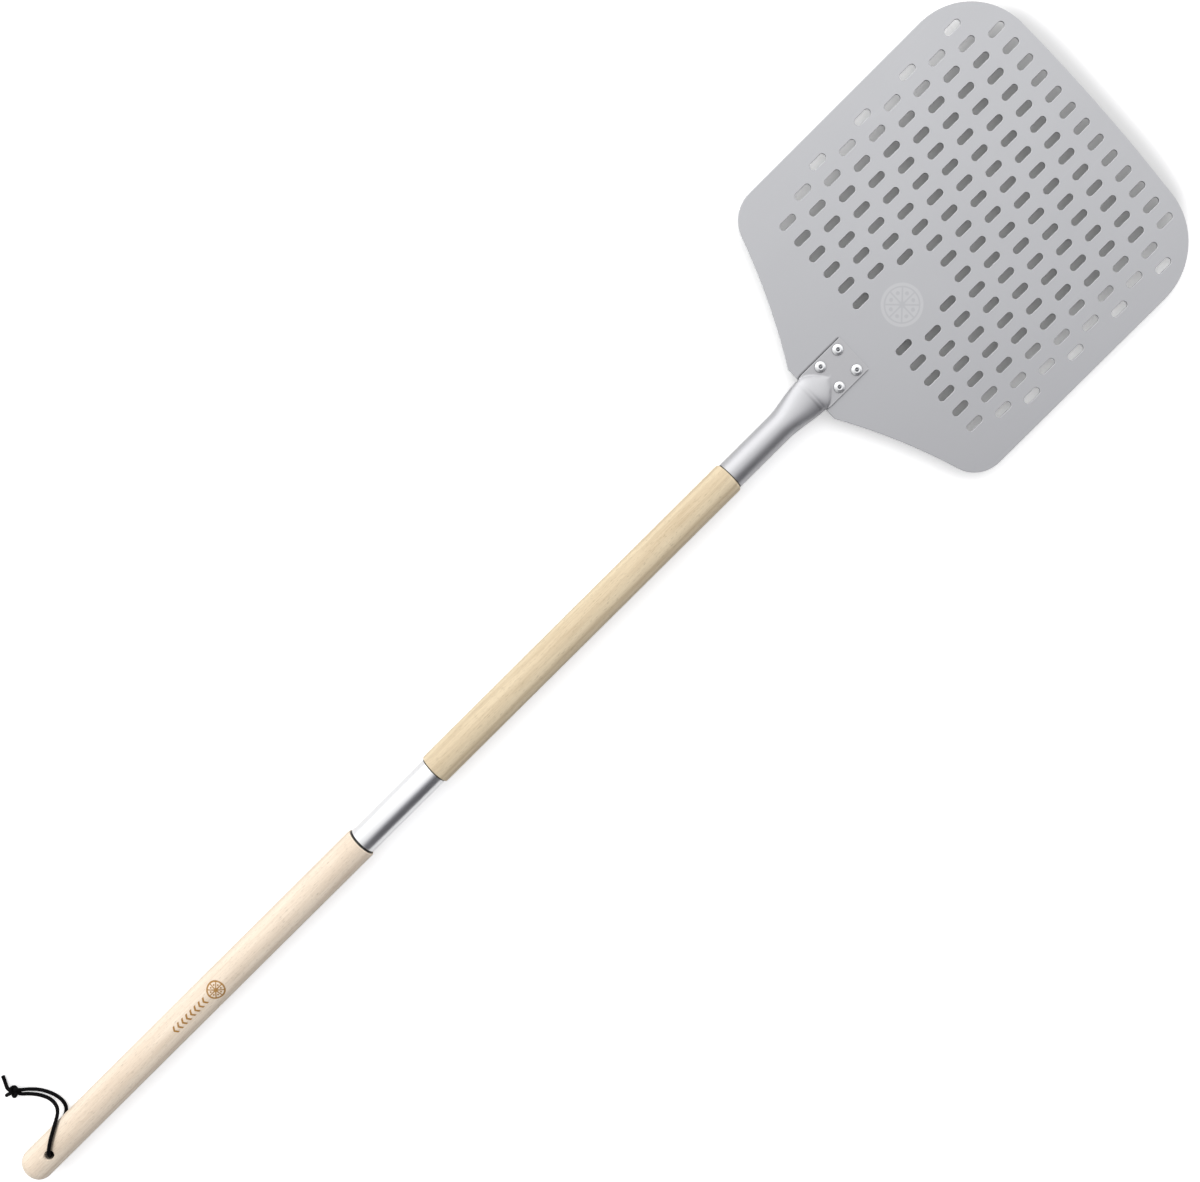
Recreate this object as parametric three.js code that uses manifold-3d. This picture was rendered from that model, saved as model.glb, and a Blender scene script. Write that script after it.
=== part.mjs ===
// Pizza peel: a perforated aluminium blade riveted to a pressed tube, on a wooden handle in two lengths.
// The lower length unscrews from a metal ferrule and carries a leather hanging cord.
// Millimetres. +Y runs along the handle towards the blade's far edge, +Z is up, and the peel lies on z = 0.
import * as THREE from 'three';
import { mergeVertices } from 'three/addons/utils/BufferGeometryUtils.js';
import Module from 'manifold-3d';

const wasm = await Module();
wasm.setup();

// Clearances
const GAP = 0.3; // between pieces that touch, press or glue together
const THREAD_CLEARANCE = 0.45; // radial, between the stud's thread and the bush's

// Blade
const BLADE_WIDTH = 305;
const BLADE_LENGTH = 332;
const BLADE_THICKNESS = 1.5;
const FAR_CORNER_RADIUS = 62;
const FAR_EDGE_BOW = 2.5; // how far the middle of the far edge stands proud of its ends
const SIDE_CORNER_RADIUS = 30;
const SHOULDER_HEIGHT = 75; // from the neck line to where the straight sides begin
const SHOULDER_HOLLOW = 3; // how far the shoulder curves in from a straight line
const SHOULDER_SLOPE = THREE.MathUtils.degToRad(20); // where it meets the side corner
const NECK_WIDTH = 56;

// Slots
const SLOT_LENGTH = 16;
const SLOT_WIDTH = 6.2;
const SLOT_PITCH = 17.5; // across the blade
const ROW_PITCH = 25.4; // along the blade
const SLOT_SIDE_MARGIN = 20; // the outermost slots' centres come no nearer to the straight sides
const FIRST_ROW_INSET = 21.8; // far edge to the first row's centres
const LAST_ROW_MARGIN = 80; // the last row's centres come no nearer to the neck line
const BADGE_HEIGHT = 104.2; // neck line to the centre of the solid patch
const BADGE_CLEAR_RADIUS = 32; // no slot has its centre nearer to the patch's centre

// Socket tube, pressed flat at one end
const TUBE_DIAMETER = 25;
const TUBE_WALL = 1.2;
const TUBE_LENGTH = 95; // open end to the neck line
const TONGUE_WIDTH = 35.5;
const TONGUE_OVERLAP = 48; // how far the tongue lies on the blade
const PRESS_LENGTH = 40; // neck line back to where the tube is fully round
const NECK_SECTION_WIDTH = 33.5;
const NECK_RIDGE_HEIGHT = 8; // above the tube's middle, at the neck line

// Rivets
const RIVET_DIAMETER = 4.8;
const RIVET_HEAD_DIAMETER = 9.5;
const RIVET_HEAD_HEIGHT = 1.6;
const RIVET_TAIL_DIAMETER = 7.4;
const RIVET_TAIL_HEIGHT = 2.6;
const RIVET_SIDE_INSET = 6.25; // tongue's side to the rivets
const RIVET_END_INSET = 8; // tongue tip to the first pair
const RIVET_SPACING_Y = 20;
const MANDREL_DIAMETER = 2;
const MANDREL_HEAD_DIAMETER = 4;
const MANDREL_HEAD_HEIGHT = 1.5;
const MANDREL_RECESS = 0.7; // below the top of the rivet's head

// Wooden handle
const WOOD_STEP = 1.5; // how far the wood stands proud of the metal tubes
const UPPER_HANDLE_LENGTH = 345; // shoulder to shoulder
const LOWER_HANDLE_LENGTH = 393;
const SOCKET_TENON_LENGTH = 45;
const FERRULE_TENON_LENGTH = 35;
const SHOULDER_ROUND = 2.6;
const JOINT_ROUND = 0.8;
const END_DOME = 8.5;

// Ferrule, bush and stud
const FERRULE_LENGTH = 84;
const THREAD_PITCH = 4;
const THREAD_TURNS = 5;
const THREAD_DEPTH = 0.9; // to each side of the mean radius
const BUSH_WALL = 2.15; // outside the thread's roots
const BUSH_RECESS = 0.5;
const WASHER_THICKNESS = 1;
const STUD_SHANK_DIAMETER = 10;
const STUD_SHANK_LENGTH = 38;
const STUD_BARB = 0.7;
const STUD_BARBS = 4;

// Screws that hold the tenons, on the underside
const SCREW_SHANK_DIAMETER = 3;
const SCREW_LENGTH = 11;
const SCREW_HEAD_DIAMETER = 6.5;
const SCREW_HEAD_HEIGHT = 1;
const SCREW_INSET = 16; // mouth of the tube to the screw

// Hanging cord
const CORD_DIAMETER = 3;
const CORD_HOLE_DIAMETER = 7.5;
const CORD_HOLE_INSET = 28; // handle end to the hole's centre
const RELIEF_WIDTH = 5; // channel under the handle that lets the cord out sideways
const RELIEF_HEIGHT = 3.8;
const RELIEF_LENGTH = 17;
const RELIEF_TURN = THREE.MathUtils.degToRad(150); // from +X, seen from above
const KNOT_LENGTH = 11;
const KNOT_DIAMETER = 9;
const KNOT_TURN = THREE.MathUtils.degToRad(-60); // from +Y, seen from above

// Facets
const ROD_SIDES = 24;
const THREAD_SIDES = 18;
const THREAD_STEPS = 7; // per turn
const SMALL_SIDES = 12;
const CORD_SIDES = 8;
const CORD_STEPS = 34;
const SLOT_END_STEPS = 3;

// Sizes that follow from those above
const WOOD_DIAMETER = TUBE_DIAMETER + 2 * WOOD_STEP;
const TENON_RADIUS = TUBE_DIAMETER / 2 - TUBE_WALL - GAP;
const THREAD_MEAN_RADIUS = TENON_RADIUS - BUSH_WALL - THREAD_DEPTH - THREAD_CLEARANCE;
const THREAD_LENGTH = THREAD_PITCH * THREAD_TURNS;
const NOSE_LENGTH = TONGUE_OVERLAP - RIVET_END_INSET - RIVET_SPACING_Y; // the ridge that runs on over the blade
const WIDE_ROW_SLOTS = Math.floor((BLADE_WIDTH - 2 * SLOT_SIDE_MARGIN) / SLOT_PITCH) + 1;
const ROW_COUNT = Math.floor((BLADE_LENGTH - FIRST_ROW_INSET - LAST_ROW_MARGIN) / ROW_PITCH) + 1;

// Places along the handle, worked out from the handle's end
const LENGTH = LOWER_HANDLE_LENGTH + WASHER_THICKNESS + FERRULE_LENGTH + UPPER_HANDLE_LENGTH
  + TUBE_LENGTH + BLADE_LENGTH + 4 * GAP;
const END_Y = -LENGTH / 2;
const LOWER_TOP_Y = END_Y + LOWER_HANDLE_LENGTH;
const WASHER_Y = LOWER_TOP_Y + GAP;
const FERRULE_Y = WASHER_Y + WASHER_THICKNESS + GAP;
const FERRULE_TOP_Y = FERRULE_Y + FERRULE_LENGTH;
const UPPER_Y = FERRULE_TOP_Y + GAP;
const UPPER_TOP_Y = UPPER_Y + UPPER_HANDLE_LENGTH;
const TUBE_Y = UPPER_TOP_Y + GAP;
const NECK_Y = TUBE_Y + TUBE_LENGTH;
const FAR_Y = NECK_Y + BLADE_LENGTH;
const HOLE_Y = END_Y + CORD_HOLE_INSET;
const BADGE_Y = NECK_Y + BADGE_HEIGHT;

// Heights
const AXIS_Z = WOOD_DIAMETER / 2;
const TONGUE_TOP_Z = AXIS_Z + TUBE_WALL;
const BLADE_TOP_Z = AXIS_Z - TUBE_WALL - GAP;
const BLADE_UNDER_Z = BLADE_TOP_Z - BLADE_THICKNESS;

const FINISHES = {
  aluminium: { color: 0xb9bbc3, roughness: 0.5, metalness: 0.85 },
  tube: { color: 0xb4b4ba, roughness: 0.4, metalness: 0.9 },
  polished: { color: 0xd8d9dd, roughness: 0.22, metalness: 1 },
  steel: { color: 0x9c9ea3, roughness: 0.35, metalness: 1 },
  brass: { color: 0xb08d4a, roughness: 0.35, metalness: 1 },
  upperWood: { color: 0xe3c79c, roughness: 0.6, metalness: 0 },
  lowerWood: { color: 0xe8d5bb, roughness: 0.62, metalness: 0 },
  nylon: { color: 0x1d1d1f, roughness: 0.6, metalness: 0 },
  leather: { color: 0x0f0e10, roughness: 0.7, metalness: 0 },
};

const peel = new THREE.Group();

// Keeps only the corners and their places, and joins the corners that coincide.
function welded(geometry) {
  const bare = geometry.index ? geometry.clone() : mergeVertices(geometry);
  for (const attribute of Object.keys(bare.attributes)) {
    if (attribute !== 'position') bare.deleteAttribute(attribute);
  }
  return mergeVertices(bare, 1e-4);
}

function toSolid(geometry) {
  const closed = welded(geometry);
  return new wasm.Manifold(new wasm.Mesh({
    numProp: 3,
    vertProperties: new Float32Array(closed.attributes.position.array),
    triVerts: new Uint32Array(closed.index.array),
  }));
}

function toGeometry(solid) {
  const mesh = solid.getMesh();
  const geometry = new THREE.BufferGeometry();
  geometry.setAttribute('position', new THREE.BufferAttribute(new Float32Array(mesh.vertProperties), 3));
  geometry.setIndex(new THREE.BufferAttribute(new Uint32Array(mesh.triVerts), 1));
  return geometry;
}

function cut(geometry, ...tools) {
  let solid = toSolid(geometry);
  for (const tool of tools) solid = solid.subtract(toSolid(tool));
  return toGeometry(solid);
}

function join(first, second) {
  return toGeometry(toSolid(first).add(toSolid(second)));
}

function addPiece(name, geometry, finish) {
  const shaded = geometry.index ? geometry.toNonIndexed() : geometry;
  shaded.computeVertexNormals();
  const mesh = new THREE.Mesh(shaded, new THREE.MeshStandardMaterial(FINISHES[finish]));
  mesh.name = name;
  peel.add(mesh);
}

// A turned piece whose axis lies along Y. Its flats, not its corners, stand at the stated radii, and one
// flat faces down. The outline is a list of [radius, y] from the low end to the high end.
function turned(outline, sides = ROD_SIDES) {
  const grow = 1 / Math.cos(Math.PI / sides);
  const points = outline.map(([radius, y]) => new THREE.Vector2(radius * grow, y));
  return new THREE.LatheGeometry(points, sides, Math.PI / sides);
}

function alongHandle(geometry) {
  return geometry.translate(0, 0, AXIS_Z);
}

// The same, standing on Z at (x, y), with the outline's second number as height.
function upright(outline, x, y, sides = SMALL_SIDES) {
  return turned(outline, sides).rotateX(Math.PI / 2).translate(x, y, 0);
}

function pin(diameter, low, high, x, y, sides = SMALL_SIDES) {
  return upright([[0, low], [diameter / 2, low], [diameter / 2, high], [0, high]], x, y, sides);
}

// Points of an arc, its two ends included.
function arc(centreX, centreY, radius, from, to, steps) {
  const points = [];
  for (let step = 0; step <= steps; step += 1) {
    const angle = from + (to - from) * step / steps;
    points.push(new THREE.Vector2(centreX + radius * Math.cos(angle), centreY + radius * Math.sin(angle)));
  }
  return points;
}

// A quarter round between two [radius, y] corners of a turned outline.
function quarterRound(radius, y, round, rising) {
  const points = [];
  for (let step = 0; step <= 3; step += 1) {
    const angle = Math.PI / 2 * step / 3;
    const along = rising ? 1 - Math.cos(angle) : Math.sin(angle);
    const out = rising ? Math.sin(angle) : Math.cos(angle);
    points.push([radius - round + round * out, rising ? y + round * along : y - round + round * along]);
  }
  return points;
}

// ---------------------------------------------------------------- blade

// The right half of the outline, from the neck to the middle of the far edge.
function bladeHalfOutline() {
  const half = BLADE_WIDTH / 2;
  const cornerX = half - SIDE_CORNER_RADIUS;
  const cornerY = NECK_Y + SHOULDER_HEIGHT;
  const sideCorner = arc(cornerX, cornerY, SIDE_CORNER_RADIUS, SHOULDER_SLOPE - Math.PI / 2, 0, 8);
  const neck = new THREE.Vector2(NECK_WIDTH / 2, NECK_Y);
  const run = sideCorner[0].clone().sub(neck);
  const inward = new THREE.Vector2(-run.y, run.x).normalize();
  const shoulder = [];
  for (let step = 0; step < 8; step += 1) {
    const along = step / 8;
    const depth = 4 * SHOULDER_HOLLOW * along * (1 - along);
    shoulder.push(neck.clone().addScaledVector(run, along).addScaledVector(inward, depth));
  }
  const farX = half - FAR_CORNER_RADIUS;
  const farY = FAR_Y - FAR_EDGE_BOW - FAR_CORNER_RADIUS;
  const farCorner = arc(farX, farY, FAR_CORNER_RADIUS, 0, Math.PI / 2, 12);
  const bow = [3, 2, 1, 0].map((step) => {
    const x = farX * step / 4;
    return new THREE.Vector2(x, FAR_Y - FAR_EDGE_BOW * (x / farX) ** 2);
  });
  return [...shoulder, ...sideCorner, ...farCorner, ...bow];
}

function slot(x, y) {
  const radius = SLOT_WIDTH / 2;
  const reach = SLOT_LENGTH / 2 - radius;
  return new THREE.Path([
    ...arc(x, y + reach, radius, 0, Math.PI, SLOT_END_STEPS),
    ...arc(x, y - reach, radius, Math.PI, 2 * Math.PI, SLOT_END_STEPS),
  ]);
}

// Staggered rows, every other one a slot shorter. The first and last lose their outer slots, and the
// patch by the neck stays solid.
function slots() {
  const holes = [];
  for (let row = 0; row < ROW_COUNT; row += 1) {
    const y = FAR_Y - FIRST_ROW_INSET - row * ROW_PITCH;
    const count = WIDE_ROW_SLOTS - (row % 2 === 0 ? 1 : 0);
    const dropped = row === 0 || row === ROW_COUNT - 1 ? 1 : 0;
    for (let column = dropped; column < count - dropped; column += 1) {
      const x = (column - (count - 1) / 2) * SLOT_PITCH;
      if (Math.hypot(x, y - BADGE_Y) > BADGE_CLEAR_RADIUS) holes.push(slot(x, y));
    }
  }
  return holes;
}

function rivetPlaces() {
  const tip = NECK_Y + TONGUE_OVERLAP - RIVET_END_INSET;
  const places = [];
  for (const y of [tip, tip - RIVET_SPACING_Y]) {
    for (const side of [-1, 1]) places.push([side * (TONGUE_WIDTH / 2 - RIVET_SIDE_INSET), y]);
  }
  return places;
}

function blade() {
  const right = bladeHalfOutline();
  const left = right.slice(0, -1).reverse().map((point) => new THREE.Vector2(-point.x, point.y));
  const shape = new THREE.Shape([...right, ...left]);
  const bores = rivetPlaces().map(([x, y]) => (
    new THREE.Path(arc(x, y, RIVET_DIAMETER / 2 + GAP + 0.1, 0, 2 * Math.PI, SMALL_SIDES).slice(0, -1))
  ));
  shape.holes.push(...slots(), ...bores);
  const plate = new THREE.ExtrudeGeometry(shape, { depth: BLADE_THICKNESS, bevelEnabled: false });
  return plate.translate(0, 0, BLADE_UNDER_Z);
}

// ---------------------------------------------------------------- socket tube

// Half width, height above and height below the tube's middle, at a place along it.
function pressedSection(y) {
  const radius = TUBE_DIAMETER / 2;
  const pressed = THREE.MathUtils.smoothstep(y, NECK_Y - PRESS_LENGTH, NECK_Y);
  const nose = THREE.MathUtils.clamp((y - NECK_Y) / NOSE_LENGTH, 0, 1);
  const neckHalf = THREE.MathUtils.lerp(radius, NECK_SECTION_WIDTH / 2, pressed);
  const neckRise = THREE.MathUtils.lerp(radius, NECK_RIDGE_HEIGHT, pressed);
  return {
    half: neckHalf * (1 - 0.86 * nose),
    above: THREE.MathUtils.lerp(neckRise, TUBE_WALL + 0.2, nose),
    below: THREE.MathUtils.lerp(radius, TUBE_WALL, pressed),
  };
}

// A closed rod that follows the pressed section, drawn in by a wall. Its one long step is the round part.
function pressedForm(low, high, inset, steps) {
  const form = welded(new THREE.CylinderGeometry(1, 1, steps, ROD_SIDES, steps, false, Math.PI / ROD_SIDES));
  const place = form.attributes.position;
  const grow = 1 / Math.cos(Math.PI / ROD_SIDES);
  const pressStart = NECK_Y - PRESS_LENGTH;
  for (let index = 0; index < place.count; index += 1) {
    const step = Math.round(place.getY(index) + steps / 2);
    const y = step === 0 ? low : THREE.MathUtils.lerp(pressStart, high, (step - 1) / (steps - 1));
    const section = pressedSection(y);
    const rise = place.getZ(index);
    const height = rise > 0 ? section.above : section.below;
    const x = place.getX(index) * Math.max(section.half - inset, 0.3) * grow;
    place.setXYZ(index, x, y, AXIS_Z + rise * Math.max(height - inset, 0.12) * grow);
  }
  return form;
}

function socketTube() {
  const tongueLow = NECK_Y - 2;
  const tongueHigh = NECK_Y + TONGUE_OVERLAP;
  const tongue = new THREE.BoxGeometry(TONGUE_WIDTH, tongueHigh - tongueLow, 2 * TUBE_WALL);
  tongue.translate(0, (tongueLow + tongueHigh) / 2, AXIS_Z);
  const overBlade = new THREE.BoxGeometry(2 * TONGUE_WIDTH, 2 * TONGUE_OVERLAP, TUBE_DIAMETER);
  overBlade.translate(0, NECK_Y - GAP + TONGUE_OVERLAP, AXIS_Z - TUBE_WALL - TUBE_DIAMETER / 2);
  const skin = pressedForm(TUBE_Y, NECK_Y + NOSE_LENGTH, 0, 13);
  const hollow = pressedForm(TUBE_Y - 1, NECK_Y + NOSE_LENGTH / 2, TUBE_WALL, 11);
  const screwHole = pin(SCREW_SHANK_DIAMETER + 2 * GAP, -1, AXIS_Z, 0, TUBE_Y + SCREW_INSET);
  const bores = rivetPlaces().map(([x, y]) => (
    pin(RIVET_DIAMETER + 2 * GAP, AXIS_Z - 3 * TUBE_WALL, AXIS_Z + 9, x, y)
  ));
  return cut(join(skin, tongue), hollow, overBlade, screwHole, ...bores);
}

// ---------------------------------------------------------------- rivets

function rivet(x, y) {
  const bore = MANDREL_DIAMETER / 2 + GAP;
  const shank = RIVET_DIAMETER / 2;
  const head = RIVET_HEAD_DIAMETER / 2;
  const tail = RIVET_TAIL_DIAMETER / 2;
  const under = BLADE_UNDER_Z - GAP;
  const seat = TONGUE_TOP_Z + GAP;
  return upright([
    [bore, under - RIVET_TAIL_HEIGHT],
    [0.7 * tail, under - RIVET_TAIL_HEIGHT],
    [tail, under - RIVET_TAIL_HEIGHT / 2],
    [0.8 * tail, under],
    [shank, under],
    [shank, seat],
    [head, seat],
    [0.86 * head, seat + 0.55 * RIVET_HEAD_HEIGHT],
    [0.5 * head, seat + RIVET_HEAD_HEIGHT],
    [bore, seat + RIVET_HEAD_HEIGHT],
    [bore, under - RIVET_TAIL_HEIGHT],
  ], x, y);
}

function mandrel(x, y) {
  const low = BLADE_UNDER_Z - 2 * GAP - RIVET_TAIL_HEIGHT;
  const top = TONGUE_TOP_Z + GAP + RIVET_HEAD_HEIGHT - MANDREL_RECESS;
  const stem = MANDREL_DIAMETER / 2;
  const head = MANDREL_HEAD_DIAMETER / 2;
  return upright([
    [0, low - MANDREL_HEAD_HEIGHT],
    [0.6 * head, low - MANDREL_HEAD_HEIGHT],
    [head, low - MANDREL_HEAD_HEIGHT / 2],
    [head, low],
    [stem, low],
    [stem, top],
    [0, top],
  ], x, y, 10);
}

// ---------------------------------------------------------------- handle

function upperHandle() {
  const radius = WOOD_DIAMETER / 2;
  const low = UPPER_Y - FERRULE_TENON_LENGTH;
  const high = UPPER_TOP_Y + SOCKET_TENON_LENGTH;
  const rod = turned([
    [0, low],
    [TENON_RADIUS - 1, low],
    [TENON_RADIUS, low + 1],
    [TENON_RADIUS, UPPER_Y],
    ...quarterRound(radius, UPPER_Y, JOINT_ROUND, true),
    ...quarterRound(radius, UPPER_TOP_Y, SHOULDER_ROUND, false),
    [TENON_RADIUS, UPPER_TOP_Y],
    [TENON_RADIUS, high - 1],
    [TENON_RADIUS - 1, high],
    [0, high],
  ]);
  const pilot = SCREW_SHANK_DIAMETER + 2 * GAP;
  const screwTop = AXIS_Z - TENON_RADIUS + SCREW_LENGTH;
  return cut(
    alongHandle(rod),
    pin(pilot, -1, screwTop, 0, TUBE_Y + SCREW_INSET),
    pin(pilot, -1, screwTop, 0, FERRULE_TOP_Y - SCREW_INSET),
  );
}

// The channel that the cord leaves by, from the hole's lower mouth to the flank.
function cordRelief() {
  const channel = new THREE.BoxGeometry(RELIEF_LENGTH, RELIEF_WIDTH, 2 * RELIEF_HEIGHT);
  channel.translate(RELIEF_LENGTH / 2, 0, 0);
  return channel.rotateZ(RELIEF_TURN).translate(0, HOLE_Y, 0);
}

function lowerHandle() {
  const radius = WOOD_DIAMETER / 2;
  const dome = [0, 1, 2, 3, 4].map((step) => {
    const angle = Math.PI / 2 * (0.3 + 0.7 * step / 4);
    return [radius * Math.sin(angle), END_Y + END_DOME * (1 - Math.cos(angle))];
  });
  const lift = dome[0][1] - END_Y;
  const rod = turned([
    [0, END_Y],
    ...dome.map(([r, y], step) => [r, step === 0 ? END_Y : y - lift * (1 - step / 4)]),
    ...quarterRound(radius, LOWER_TOP_Y, JOINT_ROUND, false),
    [0, LOWER_TOP_Y],
  ]);
  const boreRadius = STUD_SHANK_DIAMETER / 2 + STUD_BARB + GAP;
  const bore = turned([
    [0, LOWER_TOP_Y - STUD_SHANK_LENGTH - GAP],
    [boreRadius, LOWER_TOP_Y - STUD_SHANK_LENGTH - GAP],
    [boreRadius, LOWER_TOP_Y + 1],
    [0, LOWER_TOP_Y + 1],
  ], THREAD_SIDES);
  const hole = pin(CORD_HOLE_DIAMETER, -1, WOOD_DIAMETER + 1, 0, HOLE_Y, 16);
  return cut(alongHandle(rod), alongHandle(bore), hole, cordRelief());
}

// ---------------------------------------------------------------- screw joint

// Gives a turned piece's rows between two places a right-hand rounded thread.
function threaded(geometry, low, high, meanRadius, isThreadRow) {
  const place = geometry.attributes.position;
  for (let index = 0; index < place.count; index += 1) {
    const x = place.getX(index);
    const y = place.getY(index);
    const z = place.getZ(index);
    const radius = Math.hypot(x, z);
    if (y < low - 1e-3 || y > high + 1e-3 || !isThreadRow(radius)) continue;
    const turn = Math.atan2(z, x);
    const wave = Math.cos(2 * Math.PI * (y - FERRULE_Y) / THREAD_PITCH + turn);
    const size = (meanRadius + THREAD_DEPTH * wave) / meanRadius;
    place.setXYZ(index, x * size, y, z * size);
  }
  return geometry;
}

function threadRows(radius, low, high) {
  const steps = Math.round((high - low) / THREAD_PITCH * THREAD_STEPS);
  const rows = [];
  for (let step = 0; step <= steps; step += 1) rows.push([radius, low + (high - low) * step / steps]);
  return rows;
}

function threadBush() {
  const outer = TENON_RADIUS * Math.cos(Math.PI / THREAD_SIDES); // its corners fit the ferrule's flats
  const inner = THREAD_MEAN_RADIUS + THREAD_CLEARANCE;
  const low = FERRULE_Y + BUSH_RECESS;
  const high = low + THREAD_LENGTH;
  const sleeve = turned([
    [outer, low],
    [outer, high],
    ...threadRows(inner, low, high).reverse(),
    [outer, low],
  ], THREAD_SIDES);
  return alongHandle(threaded(sleeve, low, high, inner, (radius) => radius < (inner + outer) / 2));
}

// Threaded towards the blade, barbed towards the wood that holds it.
function handleStud() {
  const core = THREAD_MEAN_RADIUS - THREAD_DEPTH;
  const shank = STUD_SHANK_DIAMETER / 2;
  const low = FERRULE_Y + BUSH_RECESS;
  const high = low + THREAD_LENGTH;
  const barbs = [];
  const barbPitch = (STUD_SHANK_LENGTH - 8) / STUD_BARBS;
  for (let barb = 0; barb < STUD_BARBS; barb += 1) {
    const y = LOWER_TOP_Y - STUD_SHANK_LENGTH + 3 + barb * barbPitch;
    barbs.push([shank, y], [shank + STUD_BARB, y + 0.75 * barbPitch]);
  }
  const stud = turned([
    [0, LOWER_TOP_Y - STUD_SHANK_LENGTH],
    [0.6 * shank, LOWER_TOP_Y - STUD_SHANK_LENGTH],
    ...barbs,
    [shank, LOWER_TOP_Y - 4],
    [shank, LOWER_TOP_Y + GAP / 2],
    [core, LOWER_TOP_Y + GAP],
    [core, low - 0.6],
    ...threadRows(THREAD_MEAN_RADIUS, low, high),
    [core, high + 0.6],
    [core - 1.5, high + 2],
    [0, high + 2],
  ], THREAD_SIDES);
  return alongHandle(threaded(stud, low, high, THREAD_MEAN_RADIUS, () => true));
}

// A ring between two places, as a closed outline.
function ring(outer, inner, low, high) {
  return alongHandle(turned([[inner, low], [outer, low], [outer, high], [inner, high], [inner, low]]));
}

function ferrule() {
  const outer = TUBE_DIAMETER / 2;
  const sleeve = ring(outer, outer - TUBE_WALL, FERRULE_Y, FERRULE_TOP_Y);
  return cut(sleeve, pin(SCREW_SHANK_DIAMETER + 2 * GAP, -1, AXIS_Z, 0, FERRULE_TOP_Y - SCREW_INSET));
}

function jointWasher() {
  const inner = THREAD_MEAN_RADIUS + THREAD_DEPTH + 2 * GAP;
  return ring(TUBE_DIAMETER / 2, inner, WASHER_Y, WASHER_Y + WASHER_THICKNESS);
}

// Driven upwards from the underside.
function tenonScrew(y) {
  const seat = AXIS_Z - TUBE_DIAMETER / 2 - GAP;
  const head = SCREW_HEAD_DIAMETER / 2;
  const shank = SCREW_SHANK_DIAMETER / 2;
  const tip = AXIS_Z - TENON_RADIUS + SCREW_LENGTH - GAP;
  return upright([
    [0, seat - SCREW_HEAD_HEIGHT],
    [0.7 * head, seat - SCREW_HEAD_HEIGHT],
    [head, seat - 0.35 * SCREW_HEAD_HEIGHT],
    [head, seat],
    [shank, seat],
    [shank, tip - 3],
    [0, tip],
  ], 0, y, SMALL_SIDES);
}

// ---------------------------------------------------------------- cord

// Each leg runs from the middle of the hole to the knot. Points are [x, y from the hole, z].
const UPPER_LEG = [
  [1.2, -1, 14.15], [1.1, -1.15, 17], [1, -1.25, 20.4], [1, -1.25, 23.4], [0.7, -0.87, 25.85],
  [-0.17, 0.21, 27.93], [-1.48, 1.83, 29.31], [-3.02, 3.74, 29.8], [-5.7, 7.1, 29.3], [-8.6, 11, 27.8],
  [-11.4, 15.1, 25.6], [-14.1, 18.9, 22], [-16.4, 21.6, 17.4], [-18.7, 23, 12.6], [-21.7, 23.3, 8.1],
  [-26, 22.6, 4.3], [-31.2, 21.1, 2.1], [-36.6, 18.8, 1.6], [-41.6, 15.9, 1.6], [-46, 12.9, 2.4],
  [-50.2, 9.9, 4],
];
const LOWER_LEG = [
  [1.2, -1, 13.85], [1.35, -0.85, 11], [1.39, -0.8, 8], [0.96, -0.56, 5.55], [-0.24, 0.14, 3.47],
  [-2.04, 1.18, 2.09], [-4.16, 2.4, 1.6], [-7.1, 4.3, 1.6], [-9.6, 7.1, 1.6], [-10.9, 11, 1.6],
  [-11.1, 15.5, 1.6], [-12.1, 20, 1.6], [-14.8, 24, 1.6], [-19.3, 26.5, 1.6], [-25, 27.1, 1.6],
  [-31.4, 26, 1.6], [-37.8, 23.5, 1.6], [-43.4, 20.1, 1.6], [-48.2, 16.4, 2.3], [-52.3, 13, 4],
];
const KNOT_CENTRE = [-56.1, 8.5, 4.8];
const LONG_TAIL = [[-61.7, 5.4, 4], [-64.8, 6, 2.6], [-68.2, 7.4, 1.6], [-72, 9.3, 1.6]];
const SHORT_TAIL = [[-57.4, 3.3, 3.8], [-57.9, 1, 2.6], [-58.2, -1.2, 1.7]];

function cordPath(points) {
  const places = points.map(([x, y, z]) => new THREE.Vector3(x, HOLE_Y + y, z));
  return new THREE.CatmullRomCurve3(places, false, 'centripetal');
}

function cordTube(points, steps) {
  const section = new THREE.Shape(arc(0, 0, CORD_DIAMETER / 2, 0, 2 * Math.PI, CORD_SIDES).slice(0, -1));
  return new THREE.ExtrudeGeometry(section, { steps, extrudePath: cordPath(points), bevelEnabled: false });
}

function cordKnot() {
  const outline = [];
  for (let step = 0; step <= 6; step += 1) {
    const angle = Math.PI * step / 6;
    outline.push([Math.max(0, KNOT_DIAMETER / 2 * Math.sin(angle)), -KNOT_LENGTH / 2 * Math.cos(angle)]);
  }
  outline[0][0] = 0;
  outline[6][0] = 0;
  const [x, y, z] = KNOT_CENTRE;
  return turned(outline, SMALL_SIDES).rotateZ(KNOT_TURN).translate(x, HOLE_Y + y, z);
}

// ---------------------------------------------------------------- assembly

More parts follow.
